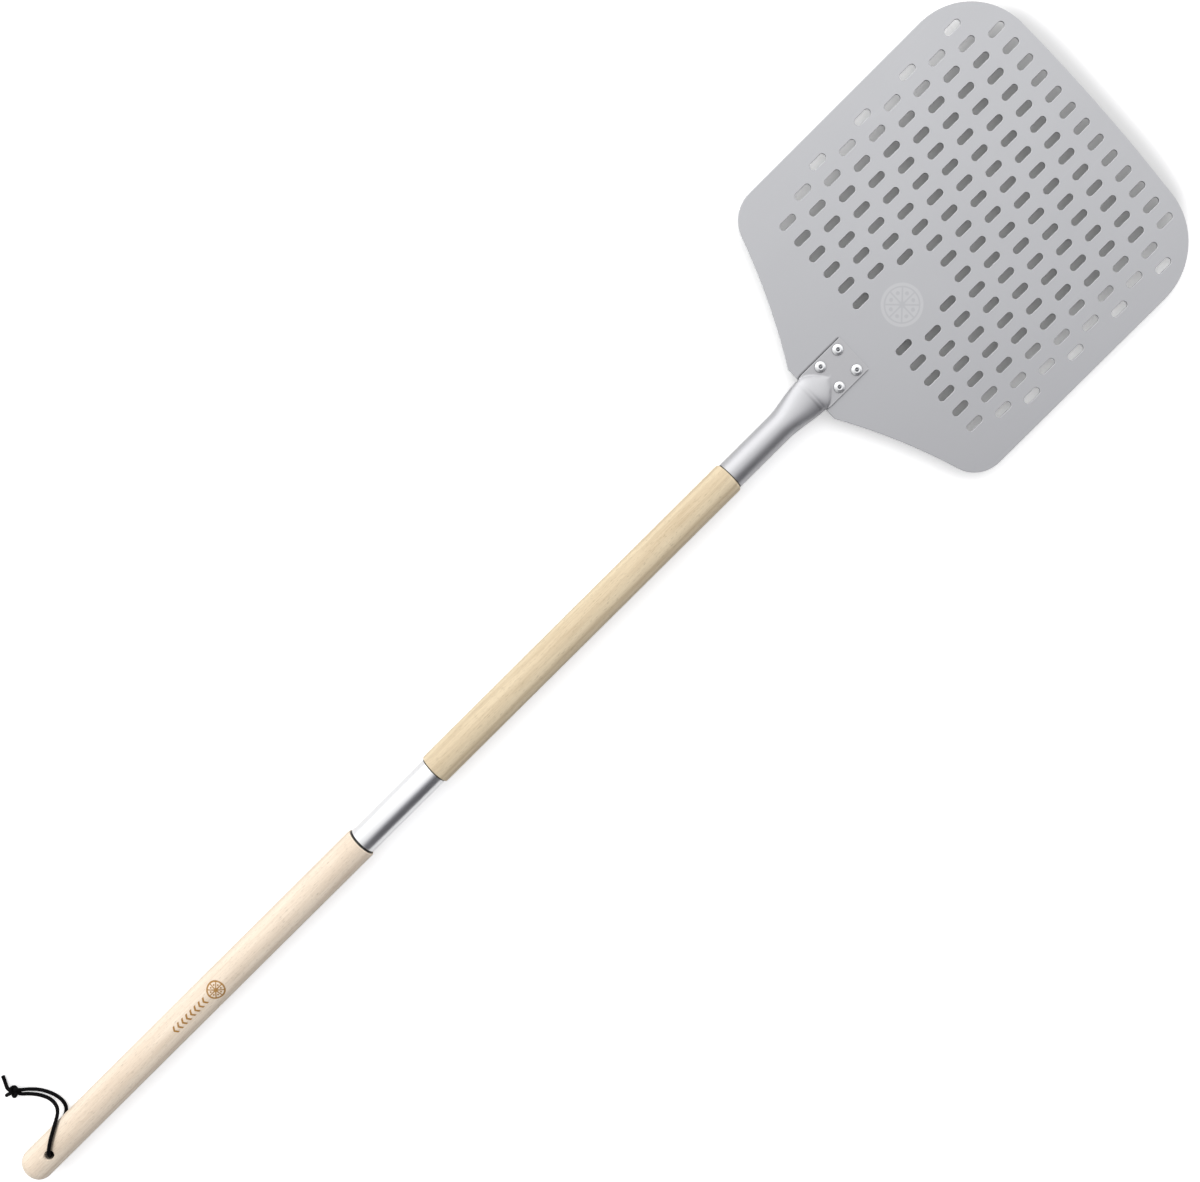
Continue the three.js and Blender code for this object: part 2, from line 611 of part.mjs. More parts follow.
addPiece('blade', blade(), 'aluminium');
addPiece('socket_tube', socketTube(), 'tube');
rivetPlaces().forEach(([x, y], index) => {
  addPiece(`rivet_${index + 1}`, rivet(x, y), 'steel');
  addPiece(`rivet_mandrel_${index + 1}`, mandrel(x, y), 'steel');
});
addPiece('upper_handle', upperHandle(), 'upperWood');
addPiece('socket_screw', tenonScrew(TUBE_Y + SCREW_INSET), 'steel');
addPiece('ferrule', ferrule(), 'polished');
addPiece('ferrule_screw', tenonScrew(FERRULE_TOP_Y - SCREW_INSET), 'steel');
addPiece('thread_bush', threadBush(), 'brass');
addPiece('joint_washer', jointWasher(), 'nylon');
addPiece('lower_handle', lowerHandle(), 'lowerWood');
addPiece('handle_stud', handleStud(), 'steel');
addPiece('cord_upper_leg', cordTube(UPPER_LEG, CORD_STEPS), 'leather');
addPiece('cord_lower_leg', cordTube(LOWER_LEG, CORD_STEPS), 'leather');
addPiece('cord_knot', cordKnot(), 'leather');
addPiece('cord_tail_long', cordTube(LONG_TAIL, 4), 'leather');
addPiece('cord_tail_short', cordTube(SHORT_TAIL, 2), 'leather');

export default peel;
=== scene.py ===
"""A pizza peel: a perforated blade on a pressed tube, a two-part wooden handle and a leather loop."""
import logging
import math
from dataclasses import dataclass, field
from enum import Enum
from typing import Iterable, Sequence

import bmesh
import bpy
from mathutils import Matrix, Vector


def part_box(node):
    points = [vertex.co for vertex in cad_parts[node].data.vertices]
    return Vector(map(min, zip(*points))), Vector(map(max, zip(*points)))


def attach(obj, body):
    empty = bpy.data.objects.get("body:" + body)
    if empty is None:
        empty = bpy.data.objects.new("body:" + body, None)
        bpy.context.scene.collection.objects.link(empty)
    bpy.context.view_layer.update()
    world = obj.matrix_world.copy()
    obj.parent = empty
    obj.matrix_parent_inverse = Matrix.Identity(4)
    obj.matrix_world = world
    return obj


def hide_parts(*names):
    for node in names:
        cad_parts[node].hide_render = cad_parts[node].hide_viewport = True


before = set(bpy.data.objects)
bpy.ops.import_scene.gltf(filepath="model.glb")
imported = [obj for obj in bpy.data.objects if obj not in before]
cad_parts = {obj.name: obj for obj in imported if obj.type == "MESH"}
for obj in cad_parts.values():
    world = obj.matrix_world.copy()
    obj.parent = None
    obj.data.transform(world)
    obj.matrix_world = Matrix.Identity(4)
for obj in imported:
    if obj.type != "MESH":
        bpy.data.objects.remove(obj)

LOG = logging.getLogger("peel")
MM = 0.001
FULL_TURN = 2.0 * math.pi
Point = tuple[float, float, float]
Colour = tuple[float, float, float]
Form = bmesh.types.BMesh
Piece = bpy.types.Object
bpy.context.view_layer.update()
TIGHTNESS = "tightness"
ONE_PLACE = 1e-7
MIX_SHARE, MIX_FIRST, MIX_SECOND, MIX_COLOUR = 0, 6, 7, 2


class Body(str, Enum):
    """The moving bodies that the pieces ride on."""

    PEEL = "peel"
    WASHER = "joint_washer"
    LOWER = "lower_handle"


class Run(Enum):
    """The way that a finish's fine lines run."""

    ALONG_HANDLE = (1.0, 0.03, 1.0)
    ROUND_HANDLE = (0.05, 1.0, 0.05)
    EVEN = (1.0, 1.0, 1.0)


# ------------------------------------------------------------------ stations

def middle_height() -> float:
    """Height of the handle's own axis above the table."""
    low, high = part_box("upper_handle")
    return (low.z + high.z) / 2


AXIS_Z = middle_height()


@dataclass(frozen=True)
class Stations:
    """Where the parts begin and end along the handle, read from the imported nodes."""

    handle_end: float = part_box("lower_handle")[0].y
    joint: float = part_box("lower_handle")[1].y
    washer_low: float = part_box("joint_washer")[0].y
    washer_high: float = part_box("joint_washer")[1].y
    ferrule_low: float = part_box("ferrule")[0].y
    ferrule_high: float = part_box("ferrule")[1].y
    upper_low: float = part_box("ferrule")[1].y + 0.9 * MM
    upper_high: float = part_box("socket_tube")[0].y - 0.5 * MM
    tube_mouth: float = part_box("socket_tube")[0].y
    tongue_tip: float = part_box("socket_tube")[1].y
    neck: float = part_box("blade")[0].y
    far_edge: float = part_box("blade")[1].y
    cord_hole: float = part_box("lower_handle")[0].y + 28 * MM


AT = Stations()


# ------------------------------------------------------------------ shader fields

class Field:
    """A number, colour or vector that varies over a surface, held as a node's output socket."""

    def __init__(self, graph: "Graph", socket: bpy.types.NodeSocket) -> None:
        """Holds a socket of a graph."""
        self.graph = graph
        self.socket = socket

    def __add__(self, other: "Field | float") -> "Field":
        """Sum."""
        return self.graph.math("ADD", self, other)

    def __sub__(self, other: "Field | float") -> "Field":
        """Difference."""
        return self.graph.math("SUBTRACT", self, other)

    def __mul__(self, other: "Field | float") -> "Field":
        """Product."""
        return self.graph.math("MULTIPLY", self, other)

    def __truediv__(self, other: "Field | float") -> "Field":
        """Quotient."""
        return self.graph.math("DIVIDE", self, other)

    def __abs__(self) -> "Field":
        """Size without sign."""
        return self.graph.math("ABSOLUTE", self)

    def power(self, exponent: float) -> "Field":
        """Raised to a power."""
        return self.graph.math("POWER", self, exponent)

    def sine(self) -> "Field":
        """Sine of an angle in radians."""
        return self.graph.math("SINE", self)

    def root(self) -> "Field":
        """Square root."""
        return self.graph.math("SQRT", self)

    def fraction(self) -> "Field":
        """What is left after the whole part."""
        return self.graph.math("FRACT", self)

    def clamped(self) -> "Field":
        """Held between nought and one."""
        return self.graph.math("ADD", self, 0.0, clamp=True)

    def ramp(self, low: float, high: float, start: float = 0.0, end: float = 1.0) -> "Field":
        """Maps a range smoothly onto another."""
        backwards = low > high
        first, last = (high, low) if backwards else (low, high)
        at_first, at_last = (end, start) if backwards else (start, end)
        inputs = {"Value": self, "From Min": first, "From Max": last, "To Min": at_first, "To Max": at_last}
        return self.graph.result("ShaderNodeMapRange", "Result", inputs, interpolation_type="SMOOTHSTEP")


class Graph:
    """Adds nodes to one node tree and joins them."""

    def __init__(self, tree: bpy.types.NodeTree) -> None:
        """Starts on an empty or a new tree."""
        self.tree = tree

    def node(self, kind: str, **settings: object) -> bpy.types.Node:
        """Adds a node."""
        made = self.tree.nodes.new(kind)
        for name, value in settings.items():
            setattr(made, name, value)
        return made

    def feed(self, socket: bpy.types.NodeSocket, value: object) -> None:
        """Joins a field to an input, or sets the input's own value."""
        if isinstance(value, Field):
            self.tree.links.new(value.socket, socket)
        else:
            socket.default_value = value

    def feed_all(self, node: bpy.types.Node, **values: object) -> None:
        """Feeds several inputs of a node by name, with underscores for spaces."""
        for name, value in values.items():
            self.feed(node.inputs[name.replace("_", " ")], value)

    def result(self, kind: str, output: int | str, inputs: dict[int | str, object],
               **settings: object) -> Field:
        """Adds a node, feeds its inputs and gives one of its outputs.

        Args:
            kind: Blender's name for the node.
            output: Which output, by name or number.
            inputs: What each input is fed, by name or number.
            settings: The node's own properties.

        Returns:
            The output.
        """
        node = self.node(kind, **settings)
        for name, value in inputs.items():
            self.feed(node.inputs[name], value)
        return Field(self, node.outputs[output])

    def math(self, operation: str, first: Field, second: object = None, clamp: bool = False) -> Field:
        """Adds a Math node."""
        inputs = {0: first} if second is None else {0: first, 1: second}
        return self.result("ShaderNodeMath", 0, inputs, operation=operation, use_clamp=clamp)

    def place(self) -> Field:
        """Object coordinates, in metres from the model's own origin."""
        return self.result("ShaderNodeTexCoord", "Object", {})

    def moved(self, vector: Field, scale: Point = (1.0, 1.0, 1.0), shift: Point = (0.0, 0.0, 0.0)) -> Field:
        """Scales and shifts a vector."""
        inputs = {"Vector": vector, "Scale": scale, "Location": shift}
        return self.result("ShaderNodeMapping", "Vector", inputs)

    def stretched(self, vector: Field, by: Field) -> Field:
        """Multiplies a vector by another, axis by axis."""
        return self.result("ShaderNodeVectorMath", 0, {0: vector, 1: by}, operation="MULTIPLY")

    def axes(self, vector: Field) -> tuple[Field, Field, Field]:
        """The three parts of a vector."""
        node = self.node("ShaderNodeSeparateXYZ")
        self.feed(node.inputs[0], vector)
        return tuple(Field(self, output) for output in node.outputs)

    def noise(self, vector: Field, scale: float, detail: float = 3.0, roughness: float = 0.5) -> Field:
        """Smooth noise between nought and one."""
        inputs = {"Vector": vector, "Scale": scale, "Detail": detail, "Roughness": roughness}
        return self.result("ShaderNodeTexNoise", "Fac", inputs)

    def cells(self, vector: Field, scale: float) -> Field:
        """Distance from the middle of the nearest cell, with so many cells to the metre."""
        return self.result("ShaderNodeTexVoronoi", "Distance", {"Vector": vector, "Scale": scale})

    def blend(self, share: Field, first: object, second: object) -> Field:
        """Mixes two colours."""
        first, second = (value if isinstance(value, Field) else (*value, 1.0) for value in (first, second))
        inputs = {MIX_SHARE: share, MIX_FIRST: first, MIX_SECOND: second}
        return self.result("ShaderNodeMix", MIX_COLOUR, inputs, data_type="RGBA")

    def bump(self, height: Field, distance: float, strength: float = 1.0) -> Field:
        """Normals that follow a height."""
        inputs = {"Height": height, "Distance": distance, "Strength": strength}
        return self.result("ShaderNodeBump", "Normal", inputs)


class Pattern:
    """A shader node group that several finishes share. A subclass names its sockets and fills it."""

    name = "pattern"
    takes: tuple[tuple[str, str, object], ...] = ()
    gives: tuple[str, ...] = ()

    def fill(self, graph: Graph, taken: dict[str, Field]) -> dict[str, Field]:
        """Builds the pattern."""
        raise NotImplementedError

    def tree(self) -> bpy.types.NodeTree:
        """The group's tree, built the first time that it is wanted."""
        found = bpy.data.node_groups.get(self.name)
        if found is not None:
            return found
        made = bpy.data.node_groups.new(self.name, "ShaderNodeTree")
        for name, kind, value in self.takes:
            socket = made.interface.new_socket(name=name, in_out="INPUT", socket_type=kind)
            if value is not None:
                socket.default_value = value
        for name in self.gives:
            made.interface.new_socket(name=name, in_out="OUTPUT", socket_type="NodeSocketFloat")
        graph = Graph(made)
        entry, leave = graph.node("NodeGroupInput"), graph.node("NodeGroupOutput")
        taken = {name: Field(graph, entry.outputs[name]) for name, _, _ in self.takes}
        for name, result in self.fill(graph, taken).items():
            graph.feed(leave.inputs[name], result)
        return made

    def on(self, graph: Graph, **values: object) -> dict[str, Field]:
        """Places the group in a material."""
        node = graph.node("ShaderNodeGroup", node_tree=self.tree())
        graph.feed_all(node, **values)
        return {name: Field(graph, node.outputs[name]) for name in self.gives}


class WoodGrain(Pattern):
    """Beech cut along the handle: growth bands, long fibres and short dark flecks."""

    name = "wood_grain"
    takes = (("Vector", "NodeSocketVector", None), ("Band Width", "NodeSocketFloat", 0.005))
    gives = ("Bands", "Fibres", "Flecks", "Clouds")

    def fill(self, graph: Graph, taken: dict[str, Field]) -> dict[str, Field]:
        """Builds the bands, fibres, flecks and clouds."""
        place = taken["Vector"]
        drawn = graph.moved(place, (1.0, 0.055, 1.0))
        across, _, up = graph.axes(drawn)
        waver = graph.noise(drawn, 60.0, 2.0) * 0.007
        from_pith = ((across - 0.031).power(2.0) + (up + 0.052).power(2.0)).root() + waver
        bands = ((from_pith / taken["Band Width"]) * FULL_TURN).sine() * 0.5 + 0.5
        fibres = graph.noise(graph.moved(place, (1.0, 0.028, 1.0)), 1050.0, 4.0, 0.62)
        flecks = graph.noise(graph.moved(place, (1.0, 0.11, 1.0)), 2300.0, 1.0, 0.4).ramp(0.60, 0.74)
        clouds = graph.noise(graph.moved(place, (1.0, 0.3, 1.0)), 38.0, 2.0)
        return {"Bands": bands.power(1.6), "Fibres": fibres, "Flecks": flecks, "Clouds": clouds}


class MetalSkin(Pattern):
    """Worked metal: fine lines one way, stray scratches, faint smears and a fine even grit."""

    name = "metal_skin"
    takes = (("Vector", "NodeSocketVector", None), ("Run", "NodeSocketVector", (1.0, 1.0, 1.0)))
    gives = ("Lines", "Scratches", "Smears", "Grit")

    def fill(self, graph: Graph, taken: dict[str, Field]) -> dict[str, Field]:
        """Builds the lines, scratches, smears and grit."""
        place = taken["Vector"]
        run = graph.stretched(place, taken["Run"])
        lines = graph.noise(run, 2600.0, 3.0, 0.7)
        slanted = {"Vector": place, "Rotation": (0.0, 0.0, 0.9), "Scale": (1.0, 0.02, 1.0)}
        turned = graph.result("ShaderNodeMapping", "Vector", slanted)
        hair = graph.noise(turned, 900.0, 1.0, 0.4).ramp(0.68, 0.73)
        patches = graph.noise(place, 24.0, 1.0).ramp(0.5, 0.62)
        smears = graph.noise(graph.moved(place, (1.0, 0.6, 1.0)), 17.0, 3.0, 0.55)
        grit = graph.noise(place, 5200.0, 2.0, 0.6)
        return {"Lines": lines, "Scratches": hair * patches, "Smears": smears, "Grit": grit}


class EdgeWear(Pattern):
    """A mask of the tight outer rounds, broken up by noise, where handling brightens a finish."""

    name = "edge_wear"
    takes = (("Vector", "NodeSocketVector", None), ("Start", "NodeSocketFloat", 0.6))
    gives = ("Worn",)

    def fill(self, graph: Graph, taken: dict[str, Field]) -> dict[str, Field]:
        """Builds the mask from how tightly each face is rounded, one over its radius in millimetres."""
        read = {"attribute_type": "GEOMETRY", "attribute_name": TIGHTNESS}
        tight = graph.result("ShaderNodeAttribute", "Fac", {}, **read)
        broken = graph.noise(taken["Vector"], 420.0, 3.0, 0.6) * 1.4 + 0.3
        worn = (tight - taken["Start"]) * 0.8
        return {"Worn": (worn.clamped() * broken).clamped()}


class PaintedCreviceShade(Pattern):
    """A mask of narrow gaps and inside corners, where painted shade darkens a finish."""

    name = "painted_crevice_shade"
    takes = (("Reach", "NodeSocketFloat", 2.6 * MM),)
    gives = ("Depth",)

    def fill(self, graph: Graph, taken: dict[str, Field]) -> dict[str, Field]:
        """Builds the mask from how much of its near surroundings a point can see."""
        # painted shade: the less of its near surroundings a point sees, the darker it is painted
        around = graph.result("ShaderNodeAmbientOcclusion", "AO", {"Distance": taken["Reach"]}, samples=8)
        return {"Depth": around.ramp(0.95, 0.50)}


class SlicedDisc(Pattern):
    """A plain round device, a pie cut in eight with a dot on each slice, in units of its own radius."""

    name = "sliced_disc"
    takes = (("Vector", "NodeSocketVector", None), ("Radius", "NodeSocketFloat", 0.01))
    gives = ("Mark", "Lines")

    def fill(self, graph: Graph, taken: dict[str, Field]) -> dict[str, Field]:
        """Builds the device as filled slices in a ring, and again as a ring with lines and dots."""
        across, along, _ = graph.axes(taken["Vector"])
        x, y = across / taken["Radius"], along / taken["Radius"]
        reach = (x.power(2.0) + y.power(2.0)).root()
        angle = graph.math("ARCTAN2", y, x)
        disc = reach.ramp(1.02, 0.97)
        cuts = (abs((angle * 4.0).sine()) * reach / 4.0).ramp(0.022, 0.05)
        rim = abs(reach - 0.82).ramp(0.02, 0.05)
        inside = reach.ramp(0.84, 0.80)
        slice_middle = abs((angle * 4.0 + math.pi / 2).sine()) * reach / 4.0
        dots = (slice_middle.power(2.0) + (reach - 0.56).power(2.0)).root().ramp(0.07, 0.11)
        outside = inside * -1.0 + 1.0
        device = (cuts * dots * inside + outside) * rim
        drawn = (abs((angle * 4.0).sine()) * reach / 4.0).ramp(0.035, 0.075) * dots * -1.0 + 1.0
        return {"Mark": disc * device, "Lines": disc * (drawn * inside + outside).clamped()}


class Chevrons(Pattern):
    """A row of chevrons along the handle, as a maker burns in with an iron."""

    name = "chevrons"
    takes = (("Vector", "NodeSocketVector", None),)
    gives = ("Mark",)
    pitch = 4.9 * MM
    count = 8
    slant = 0.62
    half_width = 3.4 * MM
    blur = 0.25 * MM
    bar = (0.22, 0.16)

    def fill(self, graph: Graph, taken: dict[str, Field]) -> dict[str, Field]:
        """Builds the row, which runs down from the vector's origin."""
        across, along, _ = graph.axes(taken["Vector"])
        slid = along - abs(across) * self.slant
        bars = abs((slid / self.pitch).fraction() - 0.5).ramp(*self.bar)
        width = abs(across).ramp(self.half_width, self.half_width - self.blur)
        middle = self.pitch * self.count / 2
        ends = abs(slid + middle).ramp(middle, middle - self.blur)
        return {"Mark": bars * width * ends}


# ------------------------------------------------------------------ finishes

def toned(colour: Colour, by: float) -> Colour:
    """A colour made lighter or darker, no channel above one."""
    return tuple(min(1.0, channel * by) for channel in colour)


def new_material(name: str) -> tuple[bpy.types.Material, Graph, bpy.types.Node]:
    """A new material with its graph and its Principled shader."""
    made = bpy.data.materials.new(name)
    made.use_nodes = True
    shader = next(node for node in made.node_tree.nodes if node.type == "BSDF_PRINCIPLED")
    return made, Graph(made.node_tree), shader


@dataclass(frozen=True)
class Finish:
    """What every finish has: its material's name, and the material, made only once."""

    name: str

    def build(self) -> bpy.types.Material:
        """Makes the material."""
        raise NotImplementedError

    def material(self) -> bpy.types.Material:
        """The material, made the first time that it is wanted."""
        return bpy.data.materials.get(self.name) or self.build()


@dataclass(frozen=True)
class Metal(Finish):
    """A metal with its tone, polish, working marks and painted shade in its crevices."""

    tone: Colour
    bright: Colour
    roughness: float
    run: Run = Run.EVEN
    line_depth: float = 1.2e-6
    line_tone: float = 0.10
    smear_tone: float = 0.10
    wear: float = 0.6
    wear_start: float = 0.6
    # how strongly painted shade darkens the crevices and inside corners
    painted_shade: float = 0.9
    mark_at: Point | None = None
    mark_radius: float = 0.0
    mark_tone: float = 0.45
    mark_dullness: float = 0.12

    def build(self) -> bpy.types.Material:
        """Makes the material.

        Returns:
            Metal whose lines, smears and worn edges change its colour, roughness and normals, with painted
            shade in its crevices.
        """
        made, graph, shader = new_material(self.name)
        place = graph.place()
        skin = MetalSkin().on(graph, Vector=place, Run=self.run.value)
        worn = EdgeWear().on(graph, Vector=place, Start=self.wear_start)["Worn"] * self.wear
        shade = (skin["Smears"] - 0.5) * self.smear_tone + (skin["Lines"] - 0.5) * self.line_tone + 0.5
        colour = graph.blend(shade.clamped(), toned(self.tone, 0.82), toned(self.tone, 1.18))
        colour = graph.blend(worn, colour, self.bright)
        # painted shade: crevices and inside corners are darkened towards a dark copy of the tone
        depth = PaintedCreviceShade().on(graph)["Depth"]
        colour = graph.blend(depth * self.painted_shade, colour, toned(self.tone, 0.12))
        rough = (skin["Smears"] - 0.5) * 0.16 + (skin["Grit"] - 0.5) * 0.10 + self.roughness
        rough = rough + skin["Scratches"] * -0.08 + worn * -0.10
        height = skin["Lines"] * 0.7 + skin["Grit"] * 0.3 - skin["Scratches"] * 0.9
        if self.mark_at is not None:
            about = graph.moved(place, shift=tuple(-value for value in self.mark_at))
            upper_side = graph.axes(about)[2].ramp(-0.6 * MM, -0.2 * MM)
            mark = SlicedDisc().on(graph, Vector=about, Radius=self.mark_radius)["Mark"] * upper_side
            colour = graph.blend(mark * self.mark_tone, colour, self.bright)
            rough = rough + mark * self.mark_dullness
        graph.feed_all(shader, Base_Color=colour, Roughness=rough.clamped(),
                       Normal=graph.bump(height, self.line_depth), Metallic=1.0)
        return made


@dataclass(frozen=True)
class Wood(Finish):
    """Oiled beech."""

    pale: Colour
    deep: Colour
    shift: Point
    band_width: float
    roughness: float = 0.5
    band_tone: float = 0.45
    fleck_tone: float = 0.42
    fibre_depth: float = 0.09 * MM
    scorched: Colour = (0.37, 0.185, 0.04)
    brand_at: Point | None = None
    brand_radius: float = 8.0 * MM
    brand_gap: float = 11.7 * MM

    def burned(self, graph: Graph, place: Field) -> Field:
        """A mask of the burned device and the row of chevrons under it, on the upper side only.

        Args:
            graph: The material's graph.
            place: Object coordinates.

        Returns:
            The mask.
        """
        x, y, z = self.brand_at
        about = graph.moved(place, shift=(-x, -y, -z))
        below = graph.moved(place, shift=(-x, -(y - self.brand_gap), -z))
        device = SlicedDisc().on(graph, Vector=about, Radius=self.brand_radius)["Lines"]
        row = Chevrons().on(graph, Vector=below)["Mark"]
        upper_side = graph.axes(about)[2].ramp(0.0, 2.0 * MM)
        return (graph.math("MAXIMUM", device, row) * upper_side).clamped()

    def build(self) -> bpy.types.Material:
        """Makes the material.

        Returns:
            Wood whose bands, fibres and flecks change its colour, roughness and normals, with painted shade
            in its crevices and joints.
        """
        made, graph, shader = new_material(self.name)
        place = graph.place()
        grain = WoodGrain().on(graph, Vector=graph.moved(place, shift=self.shift), Band_Width=self.band_width)
        dark = grain["Bands"] * self.band_tone + (grain["Fibres"] - 0.42) * 1.1
        dark = dark + (grain["Clouds"] - 0.5) * 0.5
        colour = graph.blend(dark.clamped(), self.pale, self.deep)
        colour = graph.blend(grain["Flecks"] * self.fleck_tone, colour, toned(self.deep, 0.62))
        worn = EdgeWear().on(graph, Vector=place, Start=0.3)["Worn"] * 0.35
        colour = graph.blend(worn, colour, toned(self.pale, 1.08))
        # painted shade: gaps and inside corners are darkened towards a dark copy of the deep tone
        depth = PaintedCreviceShade().on(graph)["Depth"]
        colour = graph.blend(depth * 0.8, colour, toned(self.deep, 0.10))
        rough = (grain["Fibres"] - 0.5) * 0.22 + grain["Flecks"] * 0.12 + self.roughness
        height = grain["Fibres"] * 0.6 - grain["Flecks"] * 0.5 + grain["Bands"] * 0.15
        if self.brand_at is not None:
            scorch = self.burned(graph, place)
            uneven = graph.noise(place, 700.0, 3.0) * 0.7 + 0.62
            colour = graph.blend((scorch * uneven).clamped(), colour, self.scorched)
            rough = rough + scorch * 0.18
            height = height - scorch * 1.6
        graph.feed_all(shader, Base_Color=colour, Roughness=rough.clamped(),
                       Normal=graph.bump(height, self.fibre_depth, 0.55), Coat_Weight=0.04,
                       Coat_Roughness=0.35, Specular_IOR_Level=0.20)
        return made


@dataclass(frozen=True)
class Leather(Finish):
    """Round leather lace, dyed black."""

    dye: Colour = (0.0022, 0.0020, 0.0024)
    rubbed: Colour = (0.009, 0.0075, 0.007)

    def build(self) -> bpy.types.Material:
        """Makes the material.

        Returns:
            Leather with fine pores, creases and rubbed spots.
        """
        made, graph, shader = new_material(self.name)
        place = graph.place()
        pores = graph.cells(place, 2600.0)
        creases = graph.noise(place, 1500.0, 4.0, 0.65)
        rubbed = graph.noise(place, 420.0, 3.0).ramp(0.52, 0.70)
        colour = graph.blend(rubbed * 0.6, self.dye, self.rubbed)
        normal = graph.bump(pores * 0.5 + creases * 0.8, 0.10 * MM, 0.7)
        graph.feed_all(shader, Base_Color=colour, Roughness=(creases * 0.3 + 0.46).clamped(), Normal=normal,
                       Specular_IOR_Level=0.05)
        return made


@dataclass(frozen=True)
class Plastic(Finish):
    """Moulded nylon with a fine matt texture."""

    tone: Colour = (0.010, 0.010, 0.011)

    def build(self) -> bpy.types.Material:
        """Makes the material.

        Returns:
            Nylon with a moulded grain and scattered scuffs.
        """
        made, graph, shader = new_material(self.name)
        place = graph.place()
        texture = graph.noise(place, 3400.0, 2.0)
        scuffs = graph.noise(place, 300.0, 3.0).ramp(0.55, 0.7)
        colour = graph.blend(scuffs * 0.5, self.tone, toned(self.tone, 4.0))
        graph.feed_all(shader, Base_Color=colour, Roughness=(texture * 0.25 + 0.38).clamped(),
                       Normal=graph.bump(texture, 0.02 * MM))
        return made


BADGE_AT = (0.0, AT.neck + 104.2 * MM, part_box("blade")[1].z)
BRAND_AT = (0.0, AT.handle_end + 224.6 * MM, AXIS_Z)

SATIN = Metal("satin_aluminium", (0.502, 0.505, 0.522), (0.70, 0.70, 0.71), 0.46, Run.EVEN,
              line_depth=1.4e-6, line_tone=0.06, smear_tone=0.05, mark_at=BADGE_AT, mark_radius=18.0 * MM)
DRAWN = Metal("drawn_aluminium", (0.50, 0.50, 0.515), (0.70, 0.70, 0.71), 0.46, Run.ALONG_HANDLE,
              line_depth=1.6e-6, line_tone=0.16, wear=0.25, wear_start=1.5)
POLISHED = Metal("polished_ferrule", (0.88, 0.885, 0.91), (0.96, 0.96, 0.96), 0.29, Run.ALONG_HANDLE,
                 line_depth=0.4e-6, line_tone=0.06, smear_tone=0.05)
# the rivets take painted shade at full strength in their dimples and round their heads
RIVET = Metal("rivet_metal", (0.37, 0.37, 0.385), (0.52, 0.52, 0.53), 0.24, Run.EVEN, line_depth=1.0e-6,
              wear=0.3, wear_start=1.8, painted_shade=1.0)
STEEL = Metal("zinc_steel", (0.36, 0.37, 0.39), (0.75, 0.75, 0.75), 0.32, Run.EVEN, line_depth=1.2e-6)
TURNED_STEEL = Metal("turned_steel", (0.50, 0.51, 0.53), (0.8, 0.8, 0.8), 0.26, Run.ROUND_HANDLE,
                     line_depth=2.0e-6, line_tone=0.2)
BRASS = Metal("turned_brass", (0.62, 0.43, 0.16), (0.85, 0.66, 0.32), 0.27, Run.ROUND_HANDLE,
              line_depth=2.0e-6, line_tone=0.2)
UPPER_BEECH = Wood("beech_upper", (0.765, 0.645, 0.455), (0.52, 0.40, 0.255), (0.0, 0.0, 0.0), 5.2 * MM)
LOWER_BEECH = Wood("beech_lower", (0.88, 0.765, 0.63), (0.64, 0.505, 0.38), (0.006, 0.37, 0.012), 6.1 * MM,
                   band_tone=0.38, brand_at=BRAND_AT)
LACE = Leather("black_leather_lace")
NYLON = Plastic("black_nylon")


# ------------------------------------------------------------------ making pieces

def mark_rounds(mesh: bpy.types.Mesh) -> None:
    """Writes on each face how tightly it is rounded outwards, for the edge wear to read."""
    form = bmesh.new()
    form.from_mesh(mesh)
    form.normal_update()
    middles = {face.index: face.calc_center_median() for face in form.faces}
    tightness = [0.0] * len(form.faces)
    for edge in form.edges:
        if len(edge.link_faces) != 2 or not edge.is_convex:
            continue
        first, second = edge.link_faces
        apart = max((middles[first.index] - middles[second.index]).length, 0.01 * MM)
        turn = first.normal.angle(second.normal, 0.0) / apart * MM
        for face in (first, second):
            tightness[face.index] = max(tightness[face.index], turn)
    form.free()
    mesh.attributes.new(TIGHTNESS, "FLOAT", "FACE").data.foreach_set("value", tightness)


def added(name: str, data: bpy.types.ID) -> Piece:
    """A new object in the scene."""
    made = bpy.data.objects.new(name, data)
    bpy.context.scene.collection.objects.link(made)
    return made


def meshed(name: str, form: Form) -> bpy.types.Mesh:
    """A mesh made from a form, which is freed."""
    mesh = bpy.data.meshes.new(name)
    form.to_mesh(mesh)
    form.free()
    return mesh


def loose(name: str, form: Form) -> Piece:
    """A form as an object with its faces outwards."""
    bmesh.ops.recalc_face_normals(form, faces=form.faces)
    return added(name, meshed(name, form))


def finished(name: str, form: Form, finish: Finish, body: Body,
             stands_for: Sequence[str], crease: float = 35.0) -> Piece:
    """Turns a form into a piece of the model.

    Args:
        name: The piece's name.
        form: Its shape, which is freed.
        finish: Its finish.
        body: The body that it rides on.
        stands_for: The CAD nodes that it replaces.
        crease: Edges sharper than this many degrees stay sharp.

    Returns:
        The piece.
    """
    return dressed(loose(name, form), finish, body, stands_for, crease)


def dressed(piece: Piece, finish: Finish, body: Body,
            stands_for: Sequence[str], crease: float = 35.0) -> Piece:
    """Gives a piece its finish, its shading and its place in the model.

    Args:
        piece: A mesh or curve object.
        finish: Its finish.
        body: The body that it rides on.
        stands_for: The CAD nodes that it replaces.
        crease: Edges sharper than this many degrees stay sharp.

    Returns:
        The piece.
    """
    piece.data.materials.clear()
    piece.data.materials.append(finish.material())
    if piece.type == "MESH":
        mesh = piece.data
        mark_rounds(mesh)
        mesh.polygons.foreach_set("use_smooth", [True] * len(mesh.polygons))
        mesh.set_sharp_from_angle(angle=math.radians(crease))
    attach(piece, body.value)
    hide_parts(*stands_for)
    LOG.info("%s rides on %s and stands for %s", piece.name, body.value, ", ".join(stands_for))
    return piece


